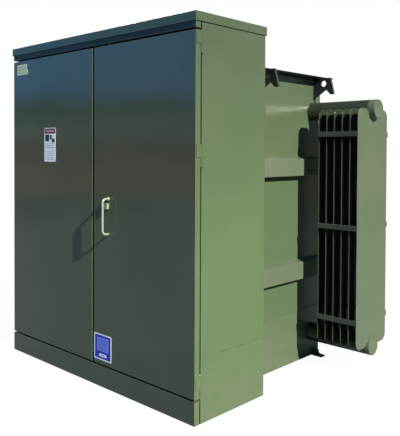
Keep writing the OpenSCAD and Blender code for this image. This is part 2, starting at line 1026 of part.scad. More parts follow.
// a bayonet fuse holder: barrel, cap and hook-stick eye
module fuse_holder(i) {
    x = hv_x + i * hv_pitch;
    cap_y = back_y - fuse_out - pass;
    eye_y = cap_y - fuse_cap_l - eye_stand;
    color("#8c3b2c") {
        rod_along_y(x, fuse_z, fuse_r, cap_y - 1, cap_y + fuse_l);
        rod_along_y(x, fuse_z, fuse_cap_r, cap_y - fuse_cap_l, cap_y);
    }
    color("#c9a24a")
        difference() {
            rod_along_x(eye_y, fuse_z, eye_r, x - eye_t / 2, x + eye_t / 2);
            rod_along_x(eye_y - 1, fuse_z, eye_hole_r, x - eye_t, x + eye_t);
        }
}

module fuse_holder_1() {
    fuse_holder(-1);
}

module fuse_holder_2() {
    fuse_holder(0);
}

module fuse_holder_3() {
    fuse_holder(1);
}

// an operating lever that turns on a shaft through the tank's front plate
module turning_lever(at, reach, thick) {
    arm_y = back_y - lever_out + 4;
    rod_along_y(at[0], at[1], lever_r, back_y - lever_out, back_y + front_t + lever_in);
    rod_along_y(at[0], at[1], lever_hub_r, back_y - lever_out, back_y - lever_gap);
    block([at[0] - lever_r, arm_y, at[1]], [at[0] + lever_r, arm_y + thick, at[1] + reach]);
    rod_along_y(at[0], at[1] + reach, lever_r, arm_y - lever_grip, arm_y + thick);
}

module switch_handle() {
    color("#b02b22")
        turning_lever(switch_pos, switch_reach, 10);
}

module tap_handle() {
    color("#c9a24a")
        turning_lever(tap_pos, tap_reach, 8);
}

// ---------- low-voltage fittings ----------

module lv_bushings() {
    color("#5a3a31")
        for (i = [-1.5:1.5])
            difference() {
                union() {
                    rod_along_y(lv_x + i * lv_pitch, lv_z, lv_flange_r, back_y - lv_flange_t, back_y);
                    rod_along_y(lv_x + i * lv_pitch, lv_z, lv_body_r, back_y - lv_out, back_y);
                    rod_along_y(lv_x + i * lv_pitch, lv_z, lv_stem_r, back_y, back_y + lv_out);
                }
                rod_along_y(lv_x + i * lv_pitch, lv_z, terminal_r, back_y - lv_out - 1, back_y + lv_out + 1);
            }
}

module lv_spades() {
    spade_y = back_y - lv_out - 12 - spade_l;
    color("#b9b4a6")
        for (i = [-1.5:1.5])
            difference() {
                union() {
                    rod_along_y(
                        lv_x + i * lv_pitch, lv_z, terminal_r,
                        back_y - lv_out - nut_t, back_y + terminal_in
                    );
                    rod_along_y(lv_x + i * lv_pitch, lv_z, nut_r, back_y - lv_out - nut_t, back_y - lv_out);
                    translate([lv_x + i * lv_pitch - spade_t / 2, spade_y, lv_z - spade_h / 2])
                        cube([spade_t, spade_l, spade_h]);
                }
                for (y = [-0.5, 0.5], z = [-0.5, 0.5])
                    rod_along_x(
                        spade_y + spade_l / 2 - spade_shift + y * nema_pitch,
                        lv_z + z * nema_pitch, nema_hole_r,
                        lv_x + i * lv_pitch - spade_t, lv_x + i * lv_pitch + spade_t
                    );
            }
}

module gauge_bodies() {
    color("#d8d9d2")
        for (x = gauge_x) {
            difference() {
                rod_along_y(x, gauge_z, gauge_r, back_y - gauge_out, back_y);
                rod_along_y(x, gauge_z, gauge_r - gauge_rim, back_y - gauge_out - 1, dial_y);
            }
            rod_along_y(x, gauge_z, needle_pin_r, dial_y - 7, dial_y + 1);
        }
}

// a gauge pointer, its tip dir degrees from straight up
module pointer(x, dir) {
    color("#a8261f")
        translate([x, 0, gauge_z])
            rotate([0, dir, 0])
                difference() {
                    union() {
                        rod_along_y(0, 0, needle_hub_r, needle_y, needle_y + needle_t);
                        block(
                            [-needle_t / 2, needle_y, -needle_tail],
                            [needle_t / 2, needle_y + needle_t, needle_l]
                        );
                    }
                    rod_along_y(0, 0, needle_pin_r + run, needle_y - 1, needle_y + needle_t + 1);
                }
}

module level_pointer() {
    pointer(gauge_x[0], 0);
}

module temperature_pointer() {
    pointer(gauge_x[1], -60);
}

module pressure_pointer() {
    pointer(gauge_x[2], 0);
}

module drain_valve() {
    color("#b5924a")
        difference() {
            union() {
                rod_along_y(valve_x, valve_z, valve_r, back_y - valve_out, back_y);
                rod_along_y(valve_x, valve_z, valve_body_r, stem_y - 20, stem_y + 20);
                rod_along_y(
                    valve_x, valve_z, valve_end_r,
                    back_y - valve_out - valve_end_l, back_y - valve_out
                );
                rod_along_z(valve_x, stem_y, stem_r, valve_z, valve_z + stem_h);
            }
            rod_along_y(valve_x, valve_z, valve_bore_r, back_y - valve_out - valve_end_l - 1, back_y - 20);
        }
}

module drain_lever() {
    color("#a8261f")
        difference() {
            union() {
                rod_along_z(valve_x, stem_y, stem_r + 5, valve_z + stem_h - 14, valve_z + stem_h - 4);
                block(
                    [valve_x, stem_y - 6, valve_z + stem_h - 11],
                    [valve_x + drain_reach, stem_y + 6, valve_z + stem_h - 6]
                );
            }
            rod_along_z(valve_x, stem_y, stem_r + run, valve_z + stem_h - 15, valve_z + stem_h - 3);
        }
}

module relief_valve() {
    color("#b5924a")
        difference() {
            union() {
                rod_along_y(relief_x, relief_z, relief_neck_r, back_y - relief_neck, back_y);
                rod_along_y(relief_x, relief_z, relief_r, back_y - relief_out, back_y - relief_neck);
            }
            rod_along_y(
                relief_x, relief_z, relief_pin_r + run,
                back_y - relief_out - 1, back_y - relief_neck
            );
        }
}

module relief_ring() {
    color("#c7c9c3") {
        rod_along_y(relief_x, relief_z, relief_pin_r, back_y - relief_out - 18, back_y - relief_out + 20);
        translate([relief_x, back_y - relief_out - 30, relief_z])
            rotate([0, 90, 0])
                rotate_extrude()
                    translate([ring_r, 0])
                        circle(r = ring_wire_r);
    }
}

module nameplate() {
    color("#cfd1cc")
        block(
            [plate_x - plate_w / 2, back_y - plate_t, plate_z],
            [plate_x + plate_w / 2, back_y, plate_z + plate_h]
        );
}

module ground_pads() {
    color("#c98f5a")
        both_sides()
            difference() {
                block(
                    [pad_x - pad_w / 2, back_y - pad_t, pad_z - pad_h / 2],
                    [pad_x + pad_w / 2, back_y, pad_z + pad_h / 2]
                );
                for (z = [-0.5, 0.5])
                    rod_along_y(pad_x, pad_z + z * nema_pitch, ground_hole_r, back_y - pad_t - 1, back_y - 1);
            }
}

// ---------- inside the tank ----------

// three wound limbs between two yokes, held by steel clamps
module core_and_clamps() {
    half = limb_w / 2;
    color("#7d7f80")
        difference() {
            block([-limb_x - half, core_y - half, core_z0], [limb_x + half, core_y + half, core_z1]);
            for (side = [-1, 1])
                block(
                    [side * limb_x / 2 - (limb_x - limb_w) / 2, core_y - half - 1, core_z0 + yoke_band],
                    [side * limb_x / 2 + (limb_x - limb_w) / 2, core_y + half + 1, core_z1 - yoke_band]
                );
        }
    color("#4c5350")
        for (y = [-half - clamp_t, half], z = [core_z0 + clamp_inset, core_z1 - clamp_h - clamp_inset])
            block(
                [-limb_x - half - clamp_past, core_y + y, z],
                [limb_x + half + clamp_past, core_y + y + clamp_t, z + clamp_h]
            );
    color("#4c5350")
        for (x = [-limb_x, limb_x - foot_w])
            block(
                [x, core_y - half - clamp_t, foot_z],
                [x + foot_w, core_y + half + clamp_t, core_z0]
            );
}

module windings() {
    bore = limb_w / 2 + 1;
    low = core_z0 + yoke_band + coil_gap;
    high = core_z1 - yoke_band - coil_gap;
    color("#a8643c")
        for (x = [-limb_x, 0, limb_x])
            difference() {
                rod_along_z(x, core_y, coil_r, low, high);
                block([x - bore, core_y - bore, low - 1], [x + bore, core_y + bore, high + 1]);
            }
}

module tank_switches() {
    color("#cbb98c")
        for (at = [switch_pos, tap_pos])
            difference() {
                block(
                    [at[0] - deck_w / 2, back_y + front_t, at[1] - deck_h / 2],
                    [at[0] + deck_w / 2, back_y + front_t + deck_l, at[1] + deck_h / 2]
                );
                rod_along_y(
                    at[0], at[1], lever_r + run,
                    back_y + front_t - 1, back_y + front_t + lever_in + 5
                );
            }
}

side_sheet_left();
side_sheet_right();
back_panel();
header_channel();
front_sill();
roof_cap();
centre_barrier();
left_door();
right_door();
left_door_stiffeners();
right_door_stiffeners();
left_hinge_leaves();
right_hinge_leaves();
hinge_brackets();
hinge_pins();
door_handle();
lock_boss();
lock_bolt();
latch_cam();
upper_latch_rod();
lower_latch_rod();
rod_guides();
left_door_stay();
right_door_stay();
left_door_labels();
right_door_label();
tank_shell();
tank_cover();
cover_gasket();
tank_ribs();
lifting_hooks();
hold_down_cleats();
radiator_headers_right();
radiator_panels_right();
radiator_straps_right();
radiator_headers_left();
radiator_panels_left();
radiator_straps_left();
hv_bushing_wells();
lv_bushings();
lv_spades();
fuse_wells();
fuse_holder_1();
fuse_holder_2();
fuse_holder_3();
switch_handle();
tap_handle();
gauge_bodies();
level_pointer();
temperature_pointer();
pressure_pointer();
drain_valve();
drain_lever();
relief_valve();
relief_ring();
nameplate();
ground_pads();
core_and_clamps();
windings();
tank_switches();
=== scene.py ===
"""Pad-mounted transformer: enamelled sheet-metal cabinet, oil tank and pressed-steel radiators.

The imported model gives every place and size. This script adds rounded sheet edges, pressed radiator
panels, weld beads, bolts, moulded bushings, gauges, labels, paint, light and camera.
"""

import json
import math

import bmesh
import bpy
from mathutils import Matrix, Vector


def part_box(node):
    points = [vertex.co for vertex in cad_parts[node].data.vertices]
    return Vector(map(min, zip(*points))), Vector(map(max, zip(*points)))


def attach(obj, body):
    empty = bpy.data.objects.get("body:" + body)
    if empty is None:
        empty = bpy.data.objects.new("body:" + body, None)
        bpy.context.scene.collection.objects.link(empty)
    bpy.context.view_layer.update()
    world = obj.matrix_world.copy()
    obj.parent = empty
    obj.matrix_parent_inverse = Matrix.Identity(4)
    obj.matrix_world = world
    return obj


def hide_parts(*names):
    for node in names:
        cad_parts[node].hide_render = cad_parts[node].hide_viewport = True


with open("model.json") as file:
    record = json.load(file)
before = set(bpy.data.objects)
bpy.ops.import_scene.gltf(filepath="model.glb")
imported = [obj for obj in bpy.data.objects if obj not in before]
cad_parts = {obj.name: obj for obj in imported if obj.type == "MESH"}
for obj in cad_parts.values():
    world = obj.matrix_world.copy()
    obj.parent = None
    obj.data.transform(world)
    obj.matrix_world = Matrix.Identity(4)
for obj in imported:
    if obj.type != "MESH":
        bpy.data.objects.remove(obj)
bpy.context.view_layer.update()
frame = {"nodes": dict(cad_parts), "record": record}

MM = 0.001
NODES = frame["nodes"]
BODY = {n: b for b, ns in frame["record"]["behaviour"]["bodies"].items() for n in ns}
AXES = {"x": Vector((1, 0, 0)), "y": Vector((0, 1, 0)), "z": Vector((0, 0, 1))}
FRONT = Vector((0, -1, 0))
BACK = Vector((0, 1, 0))
UP = Vector((0, 0, 1))
SIGN = {"right": 1, "left": -1}
ROOT = "tank_and_cabinet"


# ---------- planes of the object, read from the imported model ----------

FOOT_STRIP = 4 * MM
PANEL_HALF = 6.5 * MM
side_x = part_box("side_sheet_right")[1].x
face_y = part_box("right_door")[0].y
roof_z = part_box("roof_cap")[1].z
tank_low, tank_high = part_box("tank_shell")
wall_x = tank_high.x - FOOT_STRIP
rear_y = tank_high.y - FOOT_STRIP
back_y = tank_low.y
outer_panel_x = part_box("radiator_panels_right")[1].x - PANEL_HALF


# ---------- camera ----------

def aim_camera():
    """A level view from the front right, a little below the middle of the doors' height."""
    yaw = math.radians(43.5725)
    pitch = math.radians(1.1265)
    roll = math.radians(0.25)
    ahead = Vector((-math.sin(yaw) * math.cos(pitch), math.cos(yaw) * math.cos(pitch), -math.sin(pitch)))
    across = Vector((math.cos(yaw), math.sin(yaw), 0))
    above = across.cross(ahead)
    right = across * math.cos(roll) + above * math.sin(roll)
    up = above * math.cos(roll) - across * math.sin(roll)
    stand = Vector((side_x, face_y, 0)) + Vector((1.0191, -1.0553, 0.664)) * roof_z
    data = bpy.data.cameras.new("camera")
    data.lens = 50.72
    data.sensor_width = 36
    data.shift_y = -0.1248
    camera = bpy.data.objects.new("camera", data)
    bpy.context.scene.collection.objects.link(camera)
    turn = Matrix((right, up, -ahead)).transposed().to_4x4()
    camera.matrix_world = Matrix.Translation(stand) @ turn
    bpy.context.scene.camera = camera


aim_camera()


# ---------- node helpers ----------

def set_inputs(tree, node, inputs):
    """Sets each input of a node to a value, or links it from a socket."""
    for key, value in inputs.items():
        if isinstance(value, bpy.types.NodeSocket):
            tree.links.new(value, node.inputs[key])
        else:
            node.inputs[key].default_value = value


def add_node(tree, kind, inputs=None, **settings):
    """A node with its settings and inputs."""
    made = tree.nodes.new(kind)
    for key, value in settings.items():
        setattr(made, key, value)
    set_inputs(tree, made, inputs or {})
    return made


def output_of(tree, kind, inputs=None, output=0, **settings):
    """One output of a new node."""
    return add_node(tree, kind, inputs, **settings).outputs[output]


def noise(tree, place, scale, detail=2.0, rough=0.5, stretch=None):
    """Noise from 0 to 1 at places in metres; scale is in bumps per metre."""
    if stretch:
        place = output_of(tree, "ShaderNodeMapping", {"Vector": place, "Scale": stretch})
    inputs = {"Vector": place, "Scale": scale, "Detail": detail, "Roughness": rough}
    return output_of(tree, "ShaderNodeTexNoise", inputs, output="Fac")


def remap(tree, value, low, high, to_low, to_high):
    inputs = {"Value": value, "From Min": low, "From Max": high, "To Min": to_low, "To Max": to_high}
    return output_of(tree, "ShaderNodeMapRange", inputs, output="Result")


def mottle(tree, place, scale, low, high, detail=3.0, rough=0.6, within=(0.3, 0.7), stretch=None):
    """Noise spread from low to high; within is the part of the noise that it follows."""
    return remap(tree, noise(tree, place, scale, detail, rough, stretch), *within, low, high)


def maths(tree, operation, first, second=0.0):
    return output_of(tree, "ShaderNodeMath", {0: first, 1: second}, operation=operation)


def mixed(tree, share, first, second):
    """Two colours mixed by a share from 0 to 1."""
    return output_of(tree, "ShaderNodeMix", {0: share, 6: first, 7: second}, output=2, data_type="RGBA")


def bump(tree, height, distance, normal=None):
    inputs = {"Height": height, "Distance": distance}
    if normal is not None:
        inputs["Normal"] = normal
    return output_of(tree, "ShaderNodeBump", inputs, output="Normal")


def rgb(red, green, blue):
    return (red, green, blue, 1.0)


def scaled(color, factor):
    return tuple(min(1.0, c * factor) for c in color[:3]) + (1.0,)


def new_material(name):
    """A material, its tree, its Principled shader and the object coordinates."""
    material = bpy.data.materials.new(name)
    material.use_nodes = True
    tree = material.node_tree
    place = output_of(tree, "ShaderNodeTexCoord", output="Object")
    return material, tree, tree.nodes["Principled BSDF"], place


# ---------- paints and finishes ----------

GREEN = rgb(0.067, 0.093, 0.050)
DUST = rgb(0.13, 0.13, 0.095)
# Painted light: the lighter green laid on lower down, in place of the darker reflections near the top.
PAINTED_LOW_SHEEN = rgb(0.16, 0.28, 0.09)


def enamel(
    name, color, rough=0.24, dust=0.3, cloud=0.06, wave=1.0,
    painted_height_sheen=0.0, streak=0.05, ripple=0.0, painted_gap_shade=0.0,
):
    """Sprayed enamel: orange peel, a slightly wavy sheet, cloudy tone, dust near the pad, light painted by
    height.

    A height share lightens and greens it lower down: painted light for the darker reflections near the top.
    streak lays dusty runs on it, ripple bends its reflections in upright lines, and a gap share paints
    shade, near black, inwards of the outer radiator panel, where the panels shade each other.
    """
    material, tree, shader, place = new_material(name)
    split = add_node(tree, "ShaderNodeSeparateXYZ", {"Vector": place}).outputs
    tone = mottle(tree, place, 2.1, 0.0, 1.0, rough=0.55)
    warm = rgb(color[0] * 1.08, color[1], color[2] * 1.02)
    paint = mixed(tree, tone, scaled(color, 1 - cloud), scaled(warm, 1 + cloud))
    runs = mottle(tree, place, 9.0, 0.0, streak, within=(0.45, 0.75), stretch=(3.0, 3.0, 0.16))
    paint = mixed(tree, runs, paint, DUST)
    # Painted light by height: lighter and greener lower down, in place of the darker reflections near the
    # top.
    if painted_height_sheen:
        paint = mixed(tree, remap(tree, split["Z"], 1.85, 0.75, 0.0, painted_height_sheen), paint, PAINTED_LOW_SHEEN)
    grime = mottle(tree, place, 14.0, 0.25, 1.0, 4.0, 0.65, (0.35, 0.7))
    low = maths(tree, "MULTIPLY", remap(tree, split["Z"], 0.0, 0.42, dust, 0.0), grime)
    paint = mixed(tree, low, paint, DUST)
    # Painted shade: near-black paint on all radiator enamel inwards of the outer panel, where the panels
    # shade each other.
    if painted_gap_shade:
        sideways = maths(tree, "ABSOLUTE", split["X"])
        inner = remap(tree, sideways, outer_panel_x - 9 * MM, outer_panel_x - 3 * MM, painted_gap_shade, 0.0)
        paint = mixed(tree, inner, paint, scaled(GREEN, 0.05))
    sheet = bump(tree, noise(tree, place, 2.6, 1.0, 0.4), 0.0030 * wave)
    if ripple:
        sheet = bump(tree, noise(tree, place, 13.0, 2.0, 0.5, (0.2, 1.0, 0.10)), ripple, sheet)
    patches = mottle(tree, place, 5.0, rough - 0.03, rough + 0.05)
    set_inputs(tree, shader, {
        "Base Color": paint,
        "Roughness": maths(tree, "ADD", patches, maths(tree, "MULTIPLY", low, 0.5)),
        "Normal": bump(tree, noise(tree, place, 330.0, 1.0, 0.5), 0.00005, sheet),
        "IOR": 1.5,
    })
    return material


def metal(name, color, rough=0.34, brushed=(40.0, 40.0, 2.0), spots=0.35):
    """Plated or bare metal with fine brush lines and dull patches."""
    material, tree, shader, place = new_material(name)
    patch = mottle(tree, place, 38.0, 0.0, spots, 4.0, within=(0.35, 0.7))
    lines = noise(tree, place, 22.0, 2.0, 0.5, stretch=brushed)
    set_inputs(tree, shader, {
        "Base Color": mixed(tree, patch, color, scaled(color, 0.55)),
        "Roughness": remap(tree, lines, 0.3, 0.7, rough - 0.07, rough + 0.12),
        "Normal": bump(tree, lines, 0.00015),
        "Metallic": 1.0,
    })
    return material


def moulding(name, color, rough=0.35, grain=240.0, depth=0.0001, fleck=0.08):
    """Moulded plastic, epoxy or rubber with a fine grain."""
    material, tree, shader, place = new_material(name)
    tone = mottle(tree, place, 26.0, 0.0, 1.0, 4.0)
    fine = noise(tree, place, grain, 3.0, 0.6)
    set_inputs(tree, shader, {
        "Base Color": mixed(tree, tone, scaled(color, 1 - fleck), scaled(color, 1 + fleck)),
        "Roughness": remap(tree, fine, 0.3, 0.7, rough - 0.05, rough + 0.08),
        "Normal": bump(tree, fine, depth),
    })
    return material


def banded(name, color, dark, axis, pitch, rough=0.4, metallic=0.0):
    """Thin even layers along one axis, such as laminations, turns of wire or pressed board."""
    material, tree, shader, place = new_material(name)
    inputs = {"Vector": place, "Scale": 0.5 / pitch / 3.14159, "Distortion": 0.15, "Detail": 1.0}
    wave = add_node(tree, "ShaderNodeTexWave", inputs, wave_type="BANDS", bands_direction=axis)
    layer = wave.outputs["Fac"]
    worn = mottle(tree, place, 18.0, 0.0, 0.35, 4.0)
    set_inputs(tree, shader, {
        "Base Color": mixed(tree, worn, mixed(tree, layer, dark, color), dark),
        "Roughness": remap(tree, worn, 0.0, 0.35, rough, rough + 0.2),
        "Normal": bump(tree, layer, pitch * 0.2),
        "Metallic": metallic,
    })
    return material


def film(name, color, rough=0.3):
    """Printed vinyl film, slightly uneven and faded."""
    material, tree, shader, place = new_material(name)
    fade = mottle(tree, place, 34.0, 0.0, 1.0)
    ripple = noise(tree, place, 70.0, 2.0, 0.5)
    set_inputs(tree, shader, {
        "Base Color": mixed(tree, fade, color, scaled(color, 0.86)),
        "Roughness": remap(tree, ripple, 0.3, 0.7, rough - 0.05, rough + 0.1),
        "Normal": bump(tree, ripple, 0.00008),
        "Coat Weight": 0.3,
    })
    return material


def clear_lens(name):
    """Clear cover glass of a gauge."""
    material, tree, shader, place = new_material(name)
    set_inputs(tree, shader, {
        "Base Color": rgb(0.96, 0.98, 0.97), "Transmission Weight": 1.0, "IOR": 1.05,
        "Roughness": mottle(tree, place, 60.0, 0.02, 0.09),
    })
    return material


door_paint = enamel("door_enamel", rgb(0.070, 0.086, 0.058), rough=0.08, dust=0.10, wave=0.5)
# Painted shade: the header channel is painted darker and duller, for the shadow that the roof cap casts on
# it.
header_shade_paint = enamel("header_painted_shade_enamel", rgb(0.020, 0.040, 0.042), rough=0.5, dust=0.0)
cabinet_paint = enamel("cabinet_enamel", scaled(GREEN, 0.88), dust=0.45, painted_height_sheen=0.20)
tank_paint = enamel("tank_enamel", scaled(GREEN, 0.94), rough=0.22, dust=0.45, wave=1.3, painted_height_sheen=0.12)
# The radiator enamel carries painted shade between its panels.
radiator_paint = enamel(
    "radiator_enamel", rgb(0.074, 0.096, 0.058), rough=0.15, dust=0.2,
    painted_height_sheen=0.05, ripple=0.010, painted_gap_shade=0.7,
)
rib_paint = enamel("rib_enamel", rgb(0.092, 0.120, 0.072), rough=0.3, dust=0.0, cloud=0.08, streak=0.35)
hook_paint = enamel("hook_enamel", rgb(0.018, 0.024, 0.020), rough=0.34, dust=0.1)
strap_paint = enamel("strap_enamel", rgb(0.060, 0.072, 0.060), rough=0.3, dust=0.1)
cleat_paint = enamel("cleat_enamel", rgb(0.030, 0.036, 0.024), rough=0.36, dust=0.3)
inner_paint = enamel("inner_enamel", scaled(GREEN, 0.9), rough=0.32, dust=0.25)
handle_paint = enamel("handle_enamel", rgb(0.24, 0.29, 0.20), rough=0.30, dust=0.0, cloud=0.05)
red_paint = enamel("lever_red", rgb(0.42, 0.025, 0.018), rough=0.28, dust=0.0, cloud=0.05)
zinc = metal("zinc_plate", rgb(0.56, 0.57, 0.55))
bolt_zinc = metal("bolt_zinc", rgb(0.42, 0.43, 0.41), rough=0.4)
brass = metal("cast_brass", rgb(0.55, 0.38, 0.14), rough=0.36)
tinned = metal("tinned_copper", rgb(0.66, 0.64, 0.60), rough=0.3, brushed=(2.0, 30.0, 30.0))
copper_face = metal("copper_face", rgb(0.60, 0.30, 0.16), rough=0.36)
plate_face = metal(
    "anodised_plate", rgb(0.66, 0.67, 0.66), rough=0.42, brushed=(1.0, 40.0, 60.0), spots=0.15
)
rubber = moulding("gasket_cork_rubber", rgb(0.012, 0.012, 0.011), rough=0.75, grain=420.0, depth=0.0004)
epoxy = moulding("bushing_epoxy", rgb(0.115, 0.052, 0.035), rough=0.24)
nylon_grey = moulding("fuse_nylon", rgb(0.045, 0.048, 0.047), rough=0.45)
nylon_red = moulding("holder_nylon", rgb(0.30, 0.045, 0.028), rough=0.40)
gauge_white = moulding("gauge_enamel", rgb(0.66, 0.66, 0.62), rough=0.25)
dial_face = moulding("dial_face", rgb(0.74, 0.74, 0.70), rough=0.5, depth=0.00002)
ink = moulding("dial_ink", rgb(0.02, 0.02, 0.02), rough=0.5)
lens = clear_lens("gauge_glass")
core_steel = banded(
    "core_laminations", rgb(0.20, 0.205, 0.21), rgb(0.06, 0.06, 0.062), "Y", 4 * MM, 0.35, 0.8
)
coil_wire = banded("coil_turns", rgb(0.36, 0.13, 0.06), rgb(0.10, 0.035, 0.02), "Z", 6 * MM, 0.35, 0.6)
board = banded("pressed_board", rgb(0.52, 0.42, 0.26), rgb(0.34, 0.26, 0.15), "Y", 5 * MM, 0.7)
film_white = film("film_white", rgb(0.97, 0.98, 1.0))
film_red = film("film_red", rgb(0.30, 0.006, 0.030))
film_yellow = film("film_yellow", rgb(0.66, 0.70, 0.26))
film_blue = film("film_blue", rgb(0.012, 0.013, 0.56))
film_light_blue = film("film_light_blue", rgb(0.20, 0.28, 0.92))
film_grey = film("film_grey", rgb(0.42, 0.46, 0.60))
film_black = film("film_black", rgb(0.02, 0.02, 0.025))


# ---------- mesh helpers ----------

def link_piece(name, mesh, materials=()):
    piece = bpy.data.objects.new(name, mesh)
    bpy.context.scene.collection.objects.link(piece)
    for material in materials:
        mesh.materials.append(material)
    return piece


def smooth_by_angle(mesh, angle=35):
    mesh.shade_smooth()
    mesh.set_sharp_from_angle(angle=math.radians(angle))


def settle(piece, body, replaced=()):
    """The piece rides on its body, and may stand for CAD nodes, which are hidden."""
    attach(piece, body)
    if replaced:
        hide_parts(*replaced)
    return piece


def finish_piece(bm, name, materials, body, replaced=(), angle=35):
    """A closed bmesh made a piece, with its faces outwards."""
    bmesh.ops.remove_doubles(bm, verts=bm.verts, dist=2e-6)
    bmesh.ops.recalc_face_normals(bm, faces=bm.faces)
    mesh = bpy.data.meshes.new(name)
    bm.to_mesh(mesh)
    bm.free()
    piece = link_piece(name, mesh, materials)
    smooth_by_angle(mesh, angle)
    return settle(piece, body, replaced)


def stand_for(bm, node, suffix, materials, angle=35):
    """A closed bmesh made the piece that stands for a CAD node, on its body and with its slot."""
    return finish_piece(bm, f"{node}_{suffix}", materials, BODY[node], (node,), angle)


def merged_node(node):
    """A bmesh of a CAD node with its loose triangles joined and its flat faces made whole."""
    bm = bmesh.new()
    bm.from_mesh(NODES[node].data)
    bmesh.ops.remove_doubles(bm, verts=bm.verts, dist=1e-5)
    bmesh.ops.dissolve_limit(
        bm, angle_limit=math.radians(0.4), use_dissolve_boundaries=False, verts=bm.verts, edges=bm.edges
    )
    return bm


def parts_of(node):
    """The lowest and highest corner of each separate solid of a CAD node, by X and then Z."""
    bm = bmesh.new()
    bm.from_mesh(NODES[node].data)
    bmesh.ops.remove_doubles(bm, verts=bm.verts, dist=1e-5)
    seen = set()
    found = []
    for start in bm.verts:
        if start in seen:
            continue
        seen.add(start)
        island = [start]
        for vert in island:
            for edge in vert.link_edges:
                other = edge.other_vert(vert)
                if other not in seen:
                    seen.add(other)
                    island.append(other)
        low = Vector(min(v.co[i] for v in island) for i in range(3))
        high = Vector(max(v.co[i] for v in island) for i in range(3))
        found.append((low, high))
    bm.free()
    return sorted(found, key=lambda part: (round(part[0].x, 4), round(part[0].z, 4)))


def bevelled(bm, edges, width, segments):
    bmesh.ops.bevel(
        bm, geom=edges, offset=width, offset_type="OFFSET", segments=segments,
        profile=0.5, affect="EDGES", clamp_overlap=False,
    )


def sharp_edges(bm, angle=32):
    limit = math.radians(angle)
    return [e for e in bm.edges if len(e.link_faces) == 2 and e.calc_face_angle(0) > limit]


def rounded_copy(node, width, material, skin=None, skin_width=0):
    """A copy of a CAD node with its sharp edges rounded; it stands for the node.

    skin picks the outer edges of a bent sheet, which take the wider skin_width first.
    """
    bm = merged_node(node)
    if skin:
        outer = [e for e in sharp_edges(bm) if all(skin(v.co) for v in e.verts)]
        bevelled(bm, outer, skin_width, 4)
        bmesh.ops.dissolve_limit(bm, angle_limit=math.radians(0.4), verts=bm.verts, edges=bm.edges)
    bevelled(bm, sharp_edges(bm), width, 2)
    mesh = bpy.data.meshes.new(node + "_rounded")
    bm.to_mesh(mesh)
    bm.free()
    piece = link_piece(node + "_rounded", mesh, [material])
    mesh.shade_smooth()
    mesh.set_sharp_from_angle(angle=math.radians(60))
    weighted = piece.modifiers.new("weighted normals", "WEIGHTED_NORMAL")
    weighted.keep_sharp = True
    weighted.weight = 50
    return settle(piece, BODY[node], (node,))


def circle(centre, first, second, radius, count):
    """Points around a circle in the plane of two directions."""
    turns = [2 * math.pi * step / count for step in range(count)]
    return [centre + (first * math.cos(t) + second * math.sin(t)) * radius for t in turns]


def axis_frame(axis):
    """Two directions across an axis."""
    side = UP if abs(axis.z) < 0.9 else AXES["x"]
    first = axis.cross(side).normalized()
    return first, axis.cross(first).normalized()


def add_turned(bm, profile, centre, axis, segments=40, material_index=0):
    """A solid of revolution; profile lists (radius, distance along the axis) in mm, and 0 closes a pole."""
    first, second = axis_frame(axis)
    rings = []
    for radius, along in profile:
        middle = centre + axis * (along * MM)
        points = circle(middle, first, second, radius * MM, segments) if radius > 0 else [middle]
        rings.append([bm.verts.new(point) for point in points])
    for low, high in zip(rings, rings[1:]):
        for step in range(segments):
            after = step + 1
            corners = [ring[turn % len(ring)] for ring, turn in
                       ((low, step), (low, after), (high, after), (high, step))]
            corners = list(dict.fromkeys(corners))
            if len(corners) > 2:
                bm.faces.new(corners).material_index = material_index


def add_loft(bm, rings, material_index=0):
    """A closed skin over rings of points, with a face at both ends."""
    loops = [[bm.verts.new(point) for point in ring] for ring in rings]
    for low, high in zip(loops, loops[1:]):
        for step in range(len(low)):
            after = (step + 1) % len(low)
            corners = (low[step], low[after], high[after], high[step])
            bm.faces.new(corners).material_index = material_index
    for end in (loops[0], loops[-1]):
        bm.faces.new(end).material_index = material_index


def add_swept(bm, path, radius, sides=20):
    """A round rod along a path of points, closed at both ends."""
    rings = []
    side = axis_frame((path[1] - path[0]).normalized())[0]
    for index, point in enumerate(path):
        before = path[max(index - 1, 0)]
        after = path[min(index + 1, len(path) - 1)]
        ahead = (after - before).normalized()
        side = (side - ahead * side.dot(ahead)).normalized()
        rings.append(circle(point, side, ahead.cross(side), radius, sides))
    add_loft(bm, rings)


def add_plate(bm, outline, lift, material_index=0):
    """A flat plate: an outline of points, drawn out along Y by lift."""
    add_loft(bm, [outline, [point + AXES["y"] * lift for point in outline]], material_index)


def round_rectangle(x0, x1, z0, z1, y, radius, steps=4):
    """Corner points of a rectangle with round corners, in the plane at y."""
    points = []
    corners = ((x1 - radius, z1 - radius, 0), (x0 + radius, z1 - radius, 90),
               (x0 + radius, z0 + radius, 180), (x1 - radius, z0 + radius, 270))
    for x, z, start in corners:
        for step in range(steps + 1):
            turn = math.radians(start + 90 * step / steps)
            points.append(Vector((x + radius * math.cos(turn), y, z + radius * math.sin(turn))))
    return points


def arc(centre, radius, start, stop, axis, steps=24):
    """Points on an arc about an axis, from start to stop degrees; 0 is up."""
    second = AXES[axis].cross(UP)
    turns = [math.radians(start + (stop - start) * step / steps) for step in range(steps + 1)]
    return [Vector(centre) + (UP * math.cos(t) + second * math.sin(t)) * radius for t in turns]


def between(start, stop, count):
    """Evenly spaced values or points from start to stop."""
    return [start + (stop - start) * i / (count - 1) for i in range(count)]


# ---------- geometry-node trees for what repeats ----------

